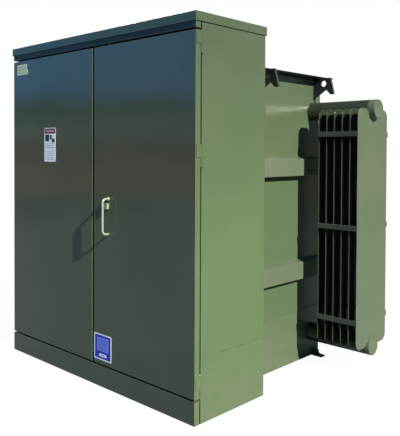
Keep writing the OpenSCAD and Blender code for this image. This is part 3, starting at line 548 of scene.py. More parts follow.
def new_tree(name, inputs):
    """A geometry-node tree with named inputs; each is (name, socket type, value)."""
    tree = bpy.data.node_groups.new(name, "GeometryNodeTree")
    tree.interface.new_socket("Geometry", in_out="INPUT", socket_type="NodeSocketGeometry")
    for label, kind, value in inputs:
        socket = tree.interface.new_socket(label, in_out="INPUT", socket_type="NodeSocket" + kind)
        if value is not None:
            socket.default_value = value
    tree.interface.new_socket("Geometry", in_out="OUTPUT", socket_type="NodeSocketGeometry")
    return tree, tree.nodes.new("NodeGroupInput").outputs


def close_tree(tree, geometry, material):
    """Realize Instances and Set Material, and the tree's output."""
    real = output_of(tree, "GeometryNodeRealizeInstances", {"Geometry": geometry})
    coated = output_of(tree, "GeometryNodeSetMaterial", {"Geometry": real, "Material": material})
    tree.links.new(coated, tree.nodes.new("NodeGroupOutput").inputs[0])
    return tree


def chance(tree, seed, low, high):
    """A random number for each point."""
    inputs = {"Seed": seed, 2: low, 3: high}
    return output_of(tree, "FunctionNodeRandomValue", inputs, output=1, data_type="FLOAT")


def seat_turn(tree):
    """The turn that stands a shape along the seat direction of its point."""
    seat = add_node(tree, "GeometryNodeInputNamedAttribute", {"Name": "seat"}, data_type="FLOAT_VECTOR")
    inputs = {"Vector": seat.outputs["Attribute"]}
    return output_of(tree, "FunctionNodeAlignRotationToVector", inputs, axis="Z")


def changed(tree, shape, change, **parts):
    """A shape with a change, Translation or Scale, whose X, Y and Z are given."""
    vector = output_of(tree, "ShaderNodeCombineXYZ", parts)
    return output_of(tree, "GeometryNodeTransform", {"Geometry": shape, change: vector})


def copies(tree, points, shape, **turn):
    """The shape on each point."""
    inputs = {"Points": points, "Instance": shape, **turn}
    return output_of(tree, "GeometryNodeInstanceOnPoints", inputs)


def bolt_tree():
    """A washer and a hexagon head on each point, square to its seat direction and turned at random."""
    tree, given = new_tree("bolt_heads", (
        ("Head Radius", "Float", 0.01), ("Head Height", "Float", 0.007),
        ("Washer Radius", "Float", 0.013), ("Washer Height", "Float", 0.002),
        ("Seed", "Int", 7), ("Finish", "Material", None),
    ))

    def barrel(sides, radius, height):
        inputs = {"Vertices": sides, "Radius": given[radius], "Depth": given[height]}
        return output_of(tree, "GeometryNodeMeshCylinder", inputs, output="Mesh")

    def share(name, factor):
        return maths(tree, "MULTIPLY", given[name], factor)

    washer = changed(
        tree, barrel(20, "Washer Radius", "Washer Height"), "Translation", Z=share("Washer Height", 0.5)
    )
    lift = maths(tree, "ADD", share("Head Height", 0.5), given["Washer Height"])
    head = changed(tree, barrel(6, "Head Radius", "Head Height"), "Translation", Z=lift)
    cap = add_node(tree, "GeometryNodeMeshCone", {
        "Vertices": 18, "Radius Top": share("Head Radius", 0.62),
        "Radius Bottom": share("Head Radius", 0.8), "Depth": share("Head Height", 0.12),
    }).outputs["Mesh"]
    top = maths(tree, "ADD", given["Washer Height"], given["Head Height"])
    cap = changed(tree, cap, "Translation", Z=top)
    joined = tree.nodes.new("GeometryNodeJoinGeometry")
    for shape in (washer, head, cap):
        tree.links.new(shape, joined.inputs[0])
    spin = output_of(tree, "ShaderNodeCombineXYZ", {"Z": chance(tree, given["Seed"], 0.0, 6.28)})
    inputs = {"Rotation": seat_turn(tree), "Rotate By": spin}
    turned = output_of(tree, "FunctionNodeRotateRotation", inputs, rotation_space="LOCAL")
    placed = copies(tree, given["Geometry"], joined.outputs[0], Rotation=turned)
    return close_tree(tree, placed, given["Finish"])


def rivet_tree():
    """A domed rivet or screw head on each point, square to its seat direction."""
    tree, given = new_tree("round_heads", (
        ("Head Radius", "Float", 0.004), ("Crown", "Float", 0.5), ("Finish", "Material", None),
    ))
    inputs = {"Segments": 16, "Rings": 8, "Radius": given["Head Radius"]}
    ball = output_of(tree, "GeometryNodeMeshUVSphere", inputs, output="Mesh")
    head = changed(tree, ball, "Scale", X=1.0, Y=1.0, Z=given["Crown"])
    placed = copies(tree, given["Geometry"], head, Rotation=seat_turn(tree))
    return close_tree(tree, placed, given["Finish"])


def row_tree():
    """The given shape repeated in a straight row."""
    tree, given = new_tree("even_row", (
        ("Count", "Int", 6), ("Step", "Vector", (0.05, 0, 0)), ("Finish", "Material", None),
    ))
    inputs = {"Count": given["Count"], "Offset": given["Step"]}
    line = output_of(tree, "GeometryNodeMeshLine", inputs, mode="OFFSET")
    return close_tree(tree, copies(tree, line, given["Geometry"]), given["Finish"])


def bead_tree():
    """A rippled weld bead along each path; its width wanders a little."""
    tree, given = new_tree("weld_bead", (
        ("Bead Radius", "Float", 0.003), ("Ripple Step", "Float", 0.004),
        ("Seed", "Int", 3), ("Finish", "Material", None),
    ))
    curve = output_of(tree, "GeometryNodeMeshToCurve", {"Mesh": given["Geometry"]})
    inputs = {"Curve": curve, 3: given["Ripple Step"]}
    evened = output_of(tree, "GeometryNodeResampleCurve", inputs, mode="LENGTH")
    girth = maths(tree, "MULTIPLY", chance(tree, given["Seed"], 0.72, 1.08), given["Bead Radius"])
    sized = output_of(tree, "GeometryNodeSetCurveRadius", {"Curve": evened, "Radius": girth})
    ring = output_of(tree, "GeometryNodeCurvePrimitiveCircle", {"Resolution": 7, "Radius": 1.0})
    inputs = {"Curve": sized, "Profile Curve": ring, "Fill Caps": True}
    bead = add_node(tree, "GeometryNodeCurveToMesh", inputs)
    if "Scale" in bead.inputs:
        radius = output_of(tree, "GeometryNodeInputRadius")
        tree.links.new(radius, bead.inputs["Scale"])
    return close_tree(tree, bead.outputs[0], given["Finish"])


BOLTS = bolt_tree()
RIVETS = rivet_tree()
ROW = row_tree()
BEADS = bead_tree()
WELDED = {"radiator_paint": radiator_paint, "handle_paint": handle_paint,
          "tank_paint": tank_paint, "cabinet_paint": cabinet_paint}


def grown(name, mesh, tree, values, body, replaced=(), angle=35):
    """Runs a tree on a base mesh and keeps the result as a plain mesh that rides on a body."""
    base = link_piece(name + "_base", mesh)
    modifier = base.modifiers.new("repeat", "NODES")
    modifier.node_group = tree
    for item in tree.interface.items_tree:
        if item.item_type == "SOCKET" and item.in_out == "INPUT" and item.name in values:
            modifier[item.identifier] = values[item.name]
    graph = bpy.context.evaluated_depsgraph_get()
    result = bpy.data.meshes.new_from_object(base.evaluated_get(graph))
    bpy.data.objects.remove(base)
    result.name = name
    piece = link_piece(name, result)
    smooth_by_angle(result, angle)
    return settle(piece, body, replaced)


def seats_mesh(seats):
    """Points that each carry the direction their head stands in; seats lists (point, direction)."""
    mesh = bpy.data.meshes.new("seats")
    mesh.from_pydata([tuple(point) for point, direction in seats], [], [])
    store = mesh.attributes.new("seat", "FLOAT_VECTOR", "POINT")
    for index, (point, direction) in enumerate(seats):
        store.data[index].vector = direction
    return mesh


def paths_mesh(paths, closed):
    """Edge paths, each a list of points; closed joins the last point to the first."""
    points = []
    edges = []
    for path in paths:
        start = len(points)
        points.extend(tuple(point) for point in path)
        edges.extend((start + i, start + i + 1) for i in range(len(path) - 1))
        if closed:
            edges.append((len(points) - 1, start))
    mesh = bpy.data.meshes.new("paths")
    mesh.from_pydata(points, edges, [])
    return mesh


def bolt_heads(name, seats, radius, body, finish):
    values = {"Head Radius": radius, "Head Height": radius * 0.62, "Washer Radius": radius * 1.3,
              "Washer Height": radius * 0.18, "Seed": 7, "Finish": finish}
    return grown(name, seats_mesh(seats), BOLTS, values, body)


def round_heads(name, seats, radius, body, finish, crown=0.5):
    values = {"Head Radius": radius, "Crown": crown, "Finish": finish}
    return grown(name, seats_mesh(seats), RIVETS, values, body)


def weld_beads(name, paths, radius, slot, closed=False, body=ROOT):
    """Beads along paths, in the paint that the slot is named after."""
    values = {"Bead Radius": radius, "Ripple Step": radius * 1.1, "Seed": 3, "Finish": WELDED[slot]}
    return grown(name, paths_mesh(paths, closed), BEADS, values, body, angle=70)


# ---------- cabinet and tank sheets ----------

def paint_ends(piece):
    """Gives the faces that look sideways the paint of the side sheets."""
    piece.data.materials.append(cabinet_paint)
    for face in piece.data.polygons:
        if abs(face.normal.x) > 0.8:
            face.material_index = 1


def on_face(co):
    return abs(co.y - face_y) < 0.05 * MM


def on_roof(co):
    return abs(co.z - roof_z) < 0.05 * MM


for door in ("left_door", "right_door"):
    leaf = rounded_copy(door, 0.6 * MM, door_paint, skin=on_face, skin_width=3.0 * MM)
    paint_ends(leaf)
rounded_copy("roof_cap", 1.2 * MM, cabinet_paint, skin=on_roof, skin_width=3.0 * MM)
for node, width, material in (
    ("side_sheet_left", 1.0, cabinet_paint), ("side_sheet_right", 1.0, cabinet_paint),
    # The header channel takes the enamel with painted shade.
    ("back_panel", 0.9, cabinet_paint), ("header_channel", 0.9, header_shade_paint),
    ("front_sill", 1.1, door_paint), ("centre_barrier", 0.7, inner_paint),
    ("left_door_stiffeners", 0.6, inner_paint), ("right_door_stiffeners", 0.6, inner_paint),
    ("left_hinge_leaves", 0.9, cabinet_paint), ("right_hinge_leaves", 0.9, cabinet_paint),
    ("hinge_brackets", 0.9, cabinet_paint), ("hinge_pins", 0.5, zinc),
    ("lock_boss", 1.4, handle_paint), ("lock_bolt", 0.4, zinc), ("latch_cam", 0.5, zinc),
    ("upper_latch_rod", 0.6, zinc), ("lower_latch_rod", 0.6, zinc), ("rod_guides", 0.6, inner_paint),
    ("left_door_stay", 0.6, zinc), ("right_door_stay", 0.6, zinc),
    ("tank_shell", 1.2, tank_paint), ("tank_cover", 1.0, hook_paint), ("cover_gasket", 0.8, rubber),
    ("tank_ribs", 3.0, rib_paint), ("lifting_hooks", 1.4, hook_paint),
    ("hold_down_cleats", 1.0, cleat_paint), ("radiator_straps_right", 1.2, strap_paint),
    ("radiator_straps_left", 1.2, strap_paint), ("lv_spades", 0.8, tinned),
    ("switch_handle", 1.0, red_paint), ("tap_handle", 1.0, brass), ("drain_valve", 0.8, brass),
    ("drain_lever", 0.8, red_paint), ("relief_valve", 0.8, brass), ("nameplate", 0.4, plate_face),
    ("ground_pads", 0.8, copper_face), ("level_pointer", 0.3, red_paint),
    ("temperature_pointer", 0.3, red_paint), ("pressure_pointer", 0.3, red_paint),
    ("relief_ring", 0.3, zinc),
):
    piece = rounded_copy(node, width * MM, material)
    # The header's front keeps its painted shade; its ends take the side sheets' paint.
    if node in ("header_channel", "front_sill"):
        paint_ends(piece)
for node, material in (("core_and_clamps", core_steel), ("windings", coil_wire), ("tank_switches", board)):
    NODES[node].data.materials.clear()
    NODES[node].data.materials.append(material)


# ---------- radiators ----------

PANELS = 6
CHANNELS = 4
CHANNEL = 58 * MM
SHOULDER = 45 * MM
EDGE_ROUND = 3 * MM
PANEL_THICK = 4.6 * MM
BULGE = 2 * MM
WRAP = 68


def radiator_panel(side):
    """The first pressed panel of a radiator: round seam, oil channels, and a notch at each pipe."""
    low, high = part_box(f"radiator_panels_{side}")
    pipes = parts_of(f"radiator_headers_{side}")
    pipe_low, pipe_high = sorted((p[0].z + p[1].z) / 2 for p in pipes)
    pipe_r = (pipes[0][1].z - pipes[0][0].z) / 2
    bite = pipe_r - 2 * MM
    half = (high.y - low.y) / 2
    middle = (high.y + low.y) / 2
    near_x = (low.x if side == "right" else -high.x) + PANEL_HALF
    notch_in = pipe_r * 0.94
    notch_out = pipe_r + 22 * MM
    notch_rise = 20 * MM
    gap = (2 * half - CHANNELS * CHANNEL) / (CHANNELS + 1)

    def end_height(y, pipe, end):
        """Height of the panel's outline above or below y; end is 1 at the top and -1 at the foot."""
        edge = high.z if end > 0 else low.z
        away = abs(y)
        if away <= notch_in:
            return pipe - end * math.sqrt(max(bite * bite - away * away, 0)) if away < bite else pipe
        if away < notch_out:
            part = (away - notch_in) / (notch_out - notch_in)
            return pipe - end * notch_rise + (edge + end * MM - pipe + end * notch_rise) * part
        if away > half - SHOULDER:
            drop = SHOULDER - math.sqrt(max(SHOULDER ** 2 - (away - half + SHOULDER) ** 2, 0))
            return edge - end * drop
        return edge

    def edge_distance(y, z):
        """How far a point is inside the outline."""
        away = abs(y)
        found = half - away
        for pipe, end in ((pipe_high, 1), (pipe_low, -1)):
            edge = high.z if end > 0 else low.z
            rise = (z - edge) * end
            if away > half - SHOULDER and rise > -SHOULDER:
                found = min(found, SHOULDER - math.hypot(away - half + SHOULDER, rise + SHOULDER))
            elif away >= notch_out:
                found = min(found, -rise)
            if away < notch_out:
                slope = 0.62 if away > notch_in else 1.0
                found = min(found, (end_height(y, pipe, end) - z) * end * slope)
        return max(found, 0.0)

    def pressing(y, z, foot, top):
        """How far the oil channels stand out; they fade towards the seam."""
        along = (y + half) % (CHANNEL + gap) - gap
        if along > 0:
            crown = math.sin(math.pi * along / CHANNEL)
        else:
            crown = -0.35 * math.sin(math.pi * (along + gap) / gap)
        ends = min(max((min(z - foot, top - z) - 12 * MM) / (60 * MM), 0.0), 1.0)
        sides = min(max((half - abs(y) - 6 * MM) / (12 * MM), 0.0), 1.0)
        return BULGE * crown * ends * ends * (3 - 2 * ends) * sides

    columns = [half * math.sin(math.radians(a)) for a in (90, 84.5, 80.5, 77)]
    columns += [half - SHOULDER * (1 - math.sin(math.radians(a))) for a in (0, 25, 50)]
    columns += [half * i / 29 for i in range(29)]
    columns += [notch_in, notch_out, notch_in * 0.97, (notch_in + notch_out) / 2]
    columns = sorted(columns)
    kept = [columns[0]]
    for value in columns[1:]:
        if value - kept[-1] > 1.6 * MM:
            kept.append(value)
    kept[-1] = half
    columns = [-v for v in reversed(kept[1:])] + kept
    insets = [d * MM for d in (0, 0.7, 2.0, 4.5, 12, 24, 42, 66, 95)]
    bm = bmesh.new()
    for face in (1, -1):
        grid = []
        for y in columns:
            foot = end_height(y, pipe_low, -1)
            top = end_height(y, pipe_high, 1)
            levels = [foot + d for d in insets] + between(foot + 0.3, top - 0.3, 3)
            levels += [top - d for d in reversed(insets)]
            line = []
            for level, z in enumerate(levels):
                rim = min(edge_distance(y, z) / EDGE_ROUND, 1.0)
                bulge = PANEL_THICK / 2 * math.sqrt(max(1 - (1 - rim) ** 2, 0))
                if level in (0, len(levels) - 1) or abs(abs(y) - half) < 1e-6:
                    bulge = 0.0
                bulge += pressing(y, z, foot, top)
                line.append(bm.verts.new(((near_x + face * bulge) * SIGN[side], y + middle, z)))
            grid.append(line)
        for left, right in zip(grid, grid[1:]):
            for row in range(len(left) - 1):
                bm.faces.new((left[row], right[row], right[row + 1], left[row + 1]))
    bmesh.ops.remove_doubles(bm, verts=bm.verts, dist=1e-6)
    bmesh.ops.recalc_face_normals(bm, faces=bm.faces)
    mesh = bpy.data.meshes.new("panel")
    bm.to_mesh(mesh)
    bm.free()
    return mesh, (high.x - low.x - 2 * PANEL_HALF) / (PANELS - 1), near_x


def radiator(side):
    """Pressed panels on two header pipes with domed ends, and the welds between them."""
    sign = SIGN[side]
    mesh, pitch, panel_x = radiator_panel(side)
    grown(
        f"radiator_panels_{side}_pressed", mesh, ROW,
        {"Count": PANELS, "Step": (pitch * sign, 0, 0), "Finish": radiator_paint},
        ROOT, (f"radiator_panels_{side}",), angle=50,
    )
    bm = bmesh.new()
    rings = []
    arcs = []
    for low, high in parts_of(f"radiator_headers_{side}"):
        near = min(low.x * sign, high.x * sign)
        far = max(low.x * sign, high.x * sign)
        pipe_y = (low.y + high.y) / 2
        height = (low.z + high.z) / 2
        radius = (high.z - low.z) / 2
        pipe_r = radius / MM
        length = (far - near) / MM
        profile = [(0, 0), (pipe_r + 1.5, 0), (pipe_r + 1.5, 1), (pipe_r, 4), (pipe_r, length - 4)]
        profile += [(pipe_r - 0.7, length - 2.2), (pipe_r - 2.6, length - 1.4)]
        profile += [(pipe_r - 6.5, length - 2.4), (pipe_r - 8, length - 2.6), (0, length - 2.6)]
        add_turned(bm, profile, Vector((near * sign, pipe_y, height)), AXES["x"] * sign, 56)
        for x, ring_r in ((near + 2 * MM, radius + 1 * MM), (far - 2.8 * MM, radius - 3.2 * MM)):
            rings.append(arc((x * sign, pipe_y, height), ring_r, 0, 352, "x", 44))
        upper = height > tank_high.z / 2
        facing = 180 if upper else 0
        for index in range(PANELS):
            x = (panel_x + index * pitch) * sign
            for shift in (-4.4 * MM, 4.4 * MM):
                centre = (x + shift, pipe_y, height)
                arcs.append(arc(centre, radius + 0.6 * MM, facing - WRAP, facing + WRAP, "x", 18))
    stand_for(bm, f"radiator_headers_{side}", "pipes", [radiator_paint], 30)
    weld_beads(f"header_ring_welds_{side}", rings, 2.6 * MM, "radiator_paint", True)
    weld_beads(f"panel_pipe_welds_{side}", arcs, 2.2 * MM, "radiator_paint")


for side in SIGN:
    radiator(side)


# ---------- door handle ----------

def door_handle():
    """A bent round rod on a chamfered hub, with the spindle that carries the cam."""
    low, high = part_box("door_handle")
    rod = 6 * MM
    bend = 22 * MM
    grip_y = low.y + rod
    top_z = high.z - 10 * MM
    low_z = low.z + rod
    x = (low.x + high.x) / 2
    quarter = [math.radians(90 * step / 12) for step in range(13)]
    path = [Vector((x, face_y - 7 * MM, top_z))]
    for t in quarter:
        path.append(Vector((x, grip_y + bend - bend * math.sin(t), top_z - bend + bend * math.cos(t))))
    for t in quarter:
        path.append(Vector((x, grip_y + bend - bend * math.cos(t), low_z + bend - bend * math.sin(t))))
    path.append(Vector((x, face_y - 2.4 * MM, low_z)))
    bm = bmesh.new()
    add_swept(bm, path, rod, 24)
    foot = [(0, 0), (5.2, 0), (5.9, 0.7), (5.9, 2), (0, 2)]
    add_turned(bm, foot, Vector((x, face_y - 1.5 * MM, low_z)), FRONT, 24)
    reach = (high.y - face_y) / MM
    hub = [(0, 0), (8, 0), (8, reach + 0.4), (9.4, reach + 0.6), (10, reach + 1.4), (10, reach + 6.5)]
    hub += [(9.2, reach + 8.2), (7, reach + 9), (0, reach + 9)]
    add_turned(bm, hub, Vector((x, high.y, top_z)), FRONT, 32)
    stand_for(bm, "door_handle", "bent_rod", [handle_paint])
    ring = arc((x, face_y - 9.4 * MM, top_z), 6.6 * MM, 0, 345, "y", 20)
    weld_beads("handle_hub_weld", [ring], 1.3 * MM, "handle_paint", True, "latch")


door_handle()


# ---------- labels ----------

def label(name, node, part, fields, materials, body, slot, replaced=()):
    """A film with round corners and printed fields; each field is (x0, x1, z0, z1, material)."""
    low, high = part
    bm = bmesh.new()
    back = high.y
    thick = high.y - low.y
    add_plate(bm, round_rectangle(low.x, high.x, low.z, high.z, back, 4 * MM), -thick * 0.8)
    width = high.x - low.x
    tall = high.z - low.z
    for level, (x0, x1, z0, z1, index) in enumerate(fields):
        outline = round_rectangle(
            low.x + width * x0, low.x + width * x1, low.z + tall * z0, low.z + tall * z1,
            back - thick * 0.5, min(1.6 * MM, width * (x1 - x0) * 0.3, tall * (z1 - z0) * 0.3),
        )
        add_plate(bm, outline, -thick * (0.36 + 0.02 * level), index)
    return finish_piece(bm, name, materials, body, replaced)


def door_labels():
    """The white label and the two yellow ones on the left door, and the blue one on the right."""
    tallest_yellow = 100 * MM
    films = parts_of("left_door_labels")
    yellow_parts = [(low, high) for low, high in films if high.z - low.z < tallest_yellow]
    white_part = [(low, high) for low, high in films if high.z - low.z > tallest_yellow][0]
    marks = [(0.03, 0.97, 0.825, 0.98, 1), (0.16, 0.84, 0.885, 0.925, 2), (0.08, 0.44, 0.60, 0.80, 4)]
    marks += [(0.50, 0.68, 0.66, 0.79, 4), (0.66, 0.92, 0.57, 0.68, 4)]
    marks += [(0.08, 0.90 - 0.07 * (i % 3), 0.06 + 0.055 * i, 0.075 + 0.055 * i, 3) for i in range(5)]
    marks += [(0.08, 0.88 - 0.09 * (i % 2), 0.40 + 0.06 * i, 0.42 + 0.06 * i, 3) for i in range(3)]
    label("left_door_white_label", "left_door_labels", white_part, marks,
          [film_white, film_red, film_grey, film_grey, film_black], "left_door", "label_film",
          ("left_door_labels",))
    marks = [(0.10 + 0.16 * i, 0.20 + 0.16 * i, 0.28, 0.66, 1) for i in range(5)]
    for index, part in enumerate(yellow_parts):
        label(f"left_door_yellow_label_{index + 1}", "left_door_labels", part, marks,
              [film_yellow, film_grey], "left_door", "label_film")
    marks = [(0.055, 0.945, 0.05, 0.95, 1), (0.18, 0.84, 0.34, 0.86, 2)]
    marks += [(0.24, 0.78, 0.38 + 0.065 * i, 0.40 + 0.065 * i, 1) for i in range(7)]
    marks += [(0.30, 0.72, 0.13, 0.24, 0), (0.40, 0.62, 0.16, 0.21, 3)]
    label("right_door_blue_label", "right_door_label", parts_of("right_door_label")[0], marks,
          [film_white, film_blue, film_light_blue, film_grey], "right_door", "blue_label_film",
          ("right_door_label",))


door_labels()


# ---------- cabinet and tank welds ----------

def seam_welds():
    """Beads on the tank's joints, ribs and hooks, and the faint dressed seams of the side sheets."""
    seam_z = 313 * MM
    seam_inset = 183 * MM
    hook_bead = 125 * MM
    beads = []
    dressed = []

    def bead(start, stop, count, kept=beads):
        kept.append(between(Vector(start), Vector(stop), count))

    for sign in (1, -1):
        x = sign * wall_x
        bead((x, back_y + 20 * MM, seam_z), (x, rear_y - 10 * MM, seam_z), 12)
        for low, high in parts_of("tank_ribs"):
            if high.y - low.y > 0.3 and low.x * sign > 0:
                for z in (low.z, high.z):
                    bead((x, low.y + 10 * MM, z), (x, high.y - 3 * MM, z), 12)
                bead((x, high.y, low.z + 2 * MM), (x, high.y, high.z - 2 * MM), 6)
        for low, high in parts_of("lifting_hooks"):
            if low.x * sign > 0:
                for y in (low.y, high.y):
                    bead((x, y, high.z - hook_bead), (x, y, high.z - 10 * MM), 8)
        sheet_x = sign * (side_x + 0.4 * MM)
        bead((sheet_x, face_y + seam_inset, seam_z), (sheet_x, back_y - 6 * MM, seam_z), 10, dressed)
    for low, high in parts_of("tank_ribs"):
        if high.x - low.x > 0.5:
            for z in (low.z, high.z):
                bead((low.x, rear_y, z), (high.x, rear_y, z), 14)
    weld_beads("tank_welds", beads, 3.0 * MM, "tank_paint")
    weld_beads("side_sheet_seams", dressed, 3.2 * MM, "cabinet_paint")


seam_welds()


# ---------- fittings behind the doors; their profiles are in mm ----------

def ribbed(outer, inner, start, stop, ribs):
    """A profile of moulded ribs between two distances along the axis."""
    points = []
    step = (stop - start) / ribs
    for index in range(ribs):
        base = start + step * index
        points += [(inner, base), (inner, base + step * 0.32), (outer - 0.6, base + step * 0.46)]
        points += [(outer, base + step * 0.56), (outer, base + step * 0.78)]
        points += [(outer - 0.8, base + step * 0.90)]
    return points + [(inner, stop)]


def disc(radius, start, stop):
    """The profile of a plain round disc."""
    return [(0, start), (radius, start), (radius, stop), (0, stop)]


def turned_set(node, profiles_of, materials):
    """Turned pieces along Y, one for each solid of a CAD node, joined.

    profiles_of takes the flange's radius and the reach in front of and behind the wall.
    """
    bm = bmesh.new()
    for low, high in parts_of(node):
        centre = Vector(((low.x + high.x) / 2, back_y, (low.z + high.z) / 2))
        flange = (high.x - low.x) / 2 / MM
        profiles = profiles_of(flange, (back_y - low.y) / MM, (high.y - back_y) / MM)
        for index, profile in enumerate(profiles):
            add_turned(bm, profile, centre, FRONT, 48, index)
    stand_for(bm, node, "turned", materials, 30)


def well_profiles(flange, out, behind):
    """A high-voltage bushing well: flange, ribbed body, open socket with a contact at its bottom."""
    body = 40
    socket = 25
    floor = out - 70
    shell = [(0, -behind), (29.5, -behind), (30, 2 - behind), (30, 0), (flange - 1.2, 0), (flange, 1.2)]
    shell += [(flange, 8.8), (flange - 1.2, 10), (body - 3, 10)]
    shell += ribbed(body, body - 4, 14, out - 14, 5)
    shell += [(body - 1, out - 12), (body, out - 10), (body, out - 1.5), (body - 1.5, out)]
    shell += [(socket + 1.5, out), (socket, out - 1.5), (socket, floor + 2), (socket - 2, floor)]
    shell += [(9, floor), (8, floor), (0, floor)]
    contact = [(0, floor), (7, floor), (7, out - 32), (5.8, out - 30), (0, out - 30)]
    return shell, contact


def low_bushing_profiles(flange, out, behind):
    """A low-voltage bushing: flange and ribbed body around its stud."""
    stud = 16
    body = 38
    shell = [(stud, -behind), (28.5, -behind), (30, 1.5 - behind), (30, 0), (flange - 1.2, 0)]
    shell += [(flange, 1.2), (flange, 10.8), (flange - 1.2, 12), (body - 3, 12)]
    shell += ribbed(body, body - 4, 16, out - 6, 4)
    shell += [(body - 2, out - 4), (body - 3.5, out), (stud, out), (stud, -behind)]
    return (shell,)


def fuse_well_profiles(flange, out, behind):
    """A bayonet fuse well: flange with a tapered collar, and an open tube."""
    tube = 26
    bore = 15.06
    floor = out - 385
    shell = [(0, -behind), (tube - 1.5, -behind), (tube, 1.5 - behind), (tube, 0), (flange - 1, 0)]
    shell += [(flange, 1), (flange, 7), (flange - 1, 8), (tube + 5, 8), (tube + 4, 18), (tube, 20)]
    shell += ribbed(tube, tube - 1.6, 22, out - 6, 6)
    shell += [(tube, out - 4), (tube - 1.2, out), (bore + 1, out), (bore, out - 1)]
    shell += [(bore, floor), (0, floor)]
    return (shell,)


turned_set("hv_bushing_wells", well_profiles, [epoxy, tinned])
turned_set("lv_bushings", low_bushing_profiles, [epoxy])
turned_set("fuse_wells", fuse_well_profiles, [nylon_grey])


def fuse_holder(node):
    """A fuse holder: barrel, knurled cap, and a brass eye for a hook stick."""
    low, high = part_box(node)
    centre = Vector(((low.x + high.x) / 2, 0, (low.z + high.z) / 2))
    tip = -high.y / MM
    base = tip + 380
    bm = bmesh.new()
    barrel = [(0, tip), (13.5, tip), (15, tip + 1.5), (15, base), (0, base)]
    add_turned(bm, barrel, centre, FRONT, 40)
    cap = [(0, base), (27, base), (28, base + 1)] + ribbed(28, 26.6, base + 4, base + 20, 4)
    cap += [(27.2, base + 21.5), (25, base + 25), (20, base + 26), (0, base + 26)]
    add_turned(bm, cap, centre, FRONT, 40)
    eye = centre + FRONT * (base + 40) * MM
    ring = [(9, -2.2), (9.8, -3), (16.2, -3), (17, -2.2)]
    ring += [(17, 2.2), (16.2, 3), (9.8, 3), (9, 2.2), (9, -2.2)]
    add_turned(bm, ring, eye, AXES["x"], 36, 1)
    stand_for(bm, node, "turned", [nylon_red, brass], 30)


for number in (1, 2, 3):
    fuse_holder(f"fuse_holder_{number}")


def gauges():
    """Gauge cases with rolled bezels, dial faces, scale marks and cover glasses."""
    smallest = 20
    dial = 31
    bm = bmesh.new()
    glass = bmesh.new()
    for low, high in parts_of("gauge_bodies"):
        radius = (high.x - low.x) / 2 / MM
        out = (back_y - low.y) / MM
        if radius < smallest:
            continue
        centre = Vector(((low.x + high.x) / 2, back_y, (low.z + high.z) / 2))
        inner = radius - 6
        case = [(0, 0), (radius - 1.5, 0), (radius - 1.5, out - 12), (radius, out - 11), (radius, out - 3)]
        case += [(radius - 1.5, out), (radius - 4.5, out), (inner, out - 2), (inner, dial), (0, dial)]
        add_turned(bm, case, centre, FRONT, 56)
        add_turned(bm, disc(inner, dial, dial + 0.5), centre, FRONT, 56, 1)
        add_turned(bm, disc(2.5, dial, dial + 7), centre, FRONT, 20, 3)
        for mark in range(21):
            turn = math.radians(-120 + 12 * mark)
            wide, inset = (0.9, 9) if mark % 5 == 0 else (0.45, 6)
            spoke = Vector((math.sin(turn), 0, math.cos(turn)))
            side = Vector((math.cos(turn), 0, -math.sin(turn))) * wide * MM
            near = centre + spoke * (inner - inset) * MM + FRONT * (dial + 0.5) * MM
            far = centre + spoke * (inner - 2.5) * MM + FRONT * (dial + 0.5) * MM
            add_plate(bm, [near - side, near + side, far + side, far - side], -0.2 * MM, 2)
        add_turned(glass, disc(inner - 0.2, out - 3.6, out - 2.4), centre, FRONT, 48)
    finish_piece(bm, "gauge_cases", [gauge_white, dial_face, ink, zinc], ROOT, ("gauge_bodies",), 30)
    finish_piece(glass, "gauge_glasses", [lens], ROOT)


gauges()


def plate_bands():
    """The nameplate's engraved bands, drawn as thin raised strips without lettering."""
    low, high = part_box("nameplate")
    strip = 2 * MM
    bm = bmesh.new()
    for row in range(8):
        z = high.z - (16 + 12 * row) * MM
        for x0, x1 in ((0.08, 0.46), (0.54, 0.92 - 0.05 * (row % 3))):
            a = low.x + (high.x - low.x) * x0
            b = low.x + (high.x - low.x) * x1
            corners = ((a, z), (b, z), (b, z + strip), (a, z + strip))
            add_plate(bm, [Vector((x, low.y + 0.1 * MM, up)) for x, up in corners], -0.09 * MM)
    finish_piece(bm, "nameplate_bands", [ink], ROOT)


plate_bands()


# ---------- bolts and rivets ----------

def sheet_bolts():
    """Bolts around the tank's cover, and down both sides of the cabinet's back panel."""
    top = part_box("tank_cover")[1].z
    margin = 22 * MM
    inset = 30 * MM
    seats = [(Vector((x, rear_y - margin, top)), UP) for x in between(-wall_x + inset, wall_x - inset, 11)]
    for y in between(back_y + 50 * MM, rear_y - margin, 8)[:-1]:
        seats += [(Vector((x, y, top)), UP) for x in (-wall_x + margin, wall_x - margin)]
    bolt_heads("cover_bolts", seats, 10 * MM, ROOT, hook_paint)
    outside = wall_x + 50 * MM
    seats = [(Vector((x, back_y, z)), BACK) for z in between(0.12, 1.62, 9) for x in (-outside, outside)]
    bolt_heads("back_panel_bolts", seats, 7 * MM, ROOT, cabinet_paint)


def flange_bolts(name, node, circle_r, thick, count, start, radius):
    """Bolts around each flange of a row of fittings."""
    seats = []
    for low, high in parts_of(node):
        middle = Vector(((low.x + high.x) / 2, back_y - thick, (low.z + high.z) / 2))
        for index in range(count):
            turn = math.radians(start + 360 * index / count)
            seats.append((middle + Vector((math.cos(turn), 0, math.sin(turn))) * circle_r, FRONT))
    bolt_heads(name, seats, radius, ROOT, bolt_zinc)


def nameplate_rivets():
    """A rivet in each corner of the nameplate."""
    low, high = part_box("nameplate")
    corner = 7 * MM
    seats = [(Vector((x, low.y, z)), FRONT)
             for x in (low.x + corner, high.x - corner) for z in (low.z + corner, high.z - corner)]
    round_heads("nameplate_rivets", seats, 3.2 * MM, ROOT, zinc)


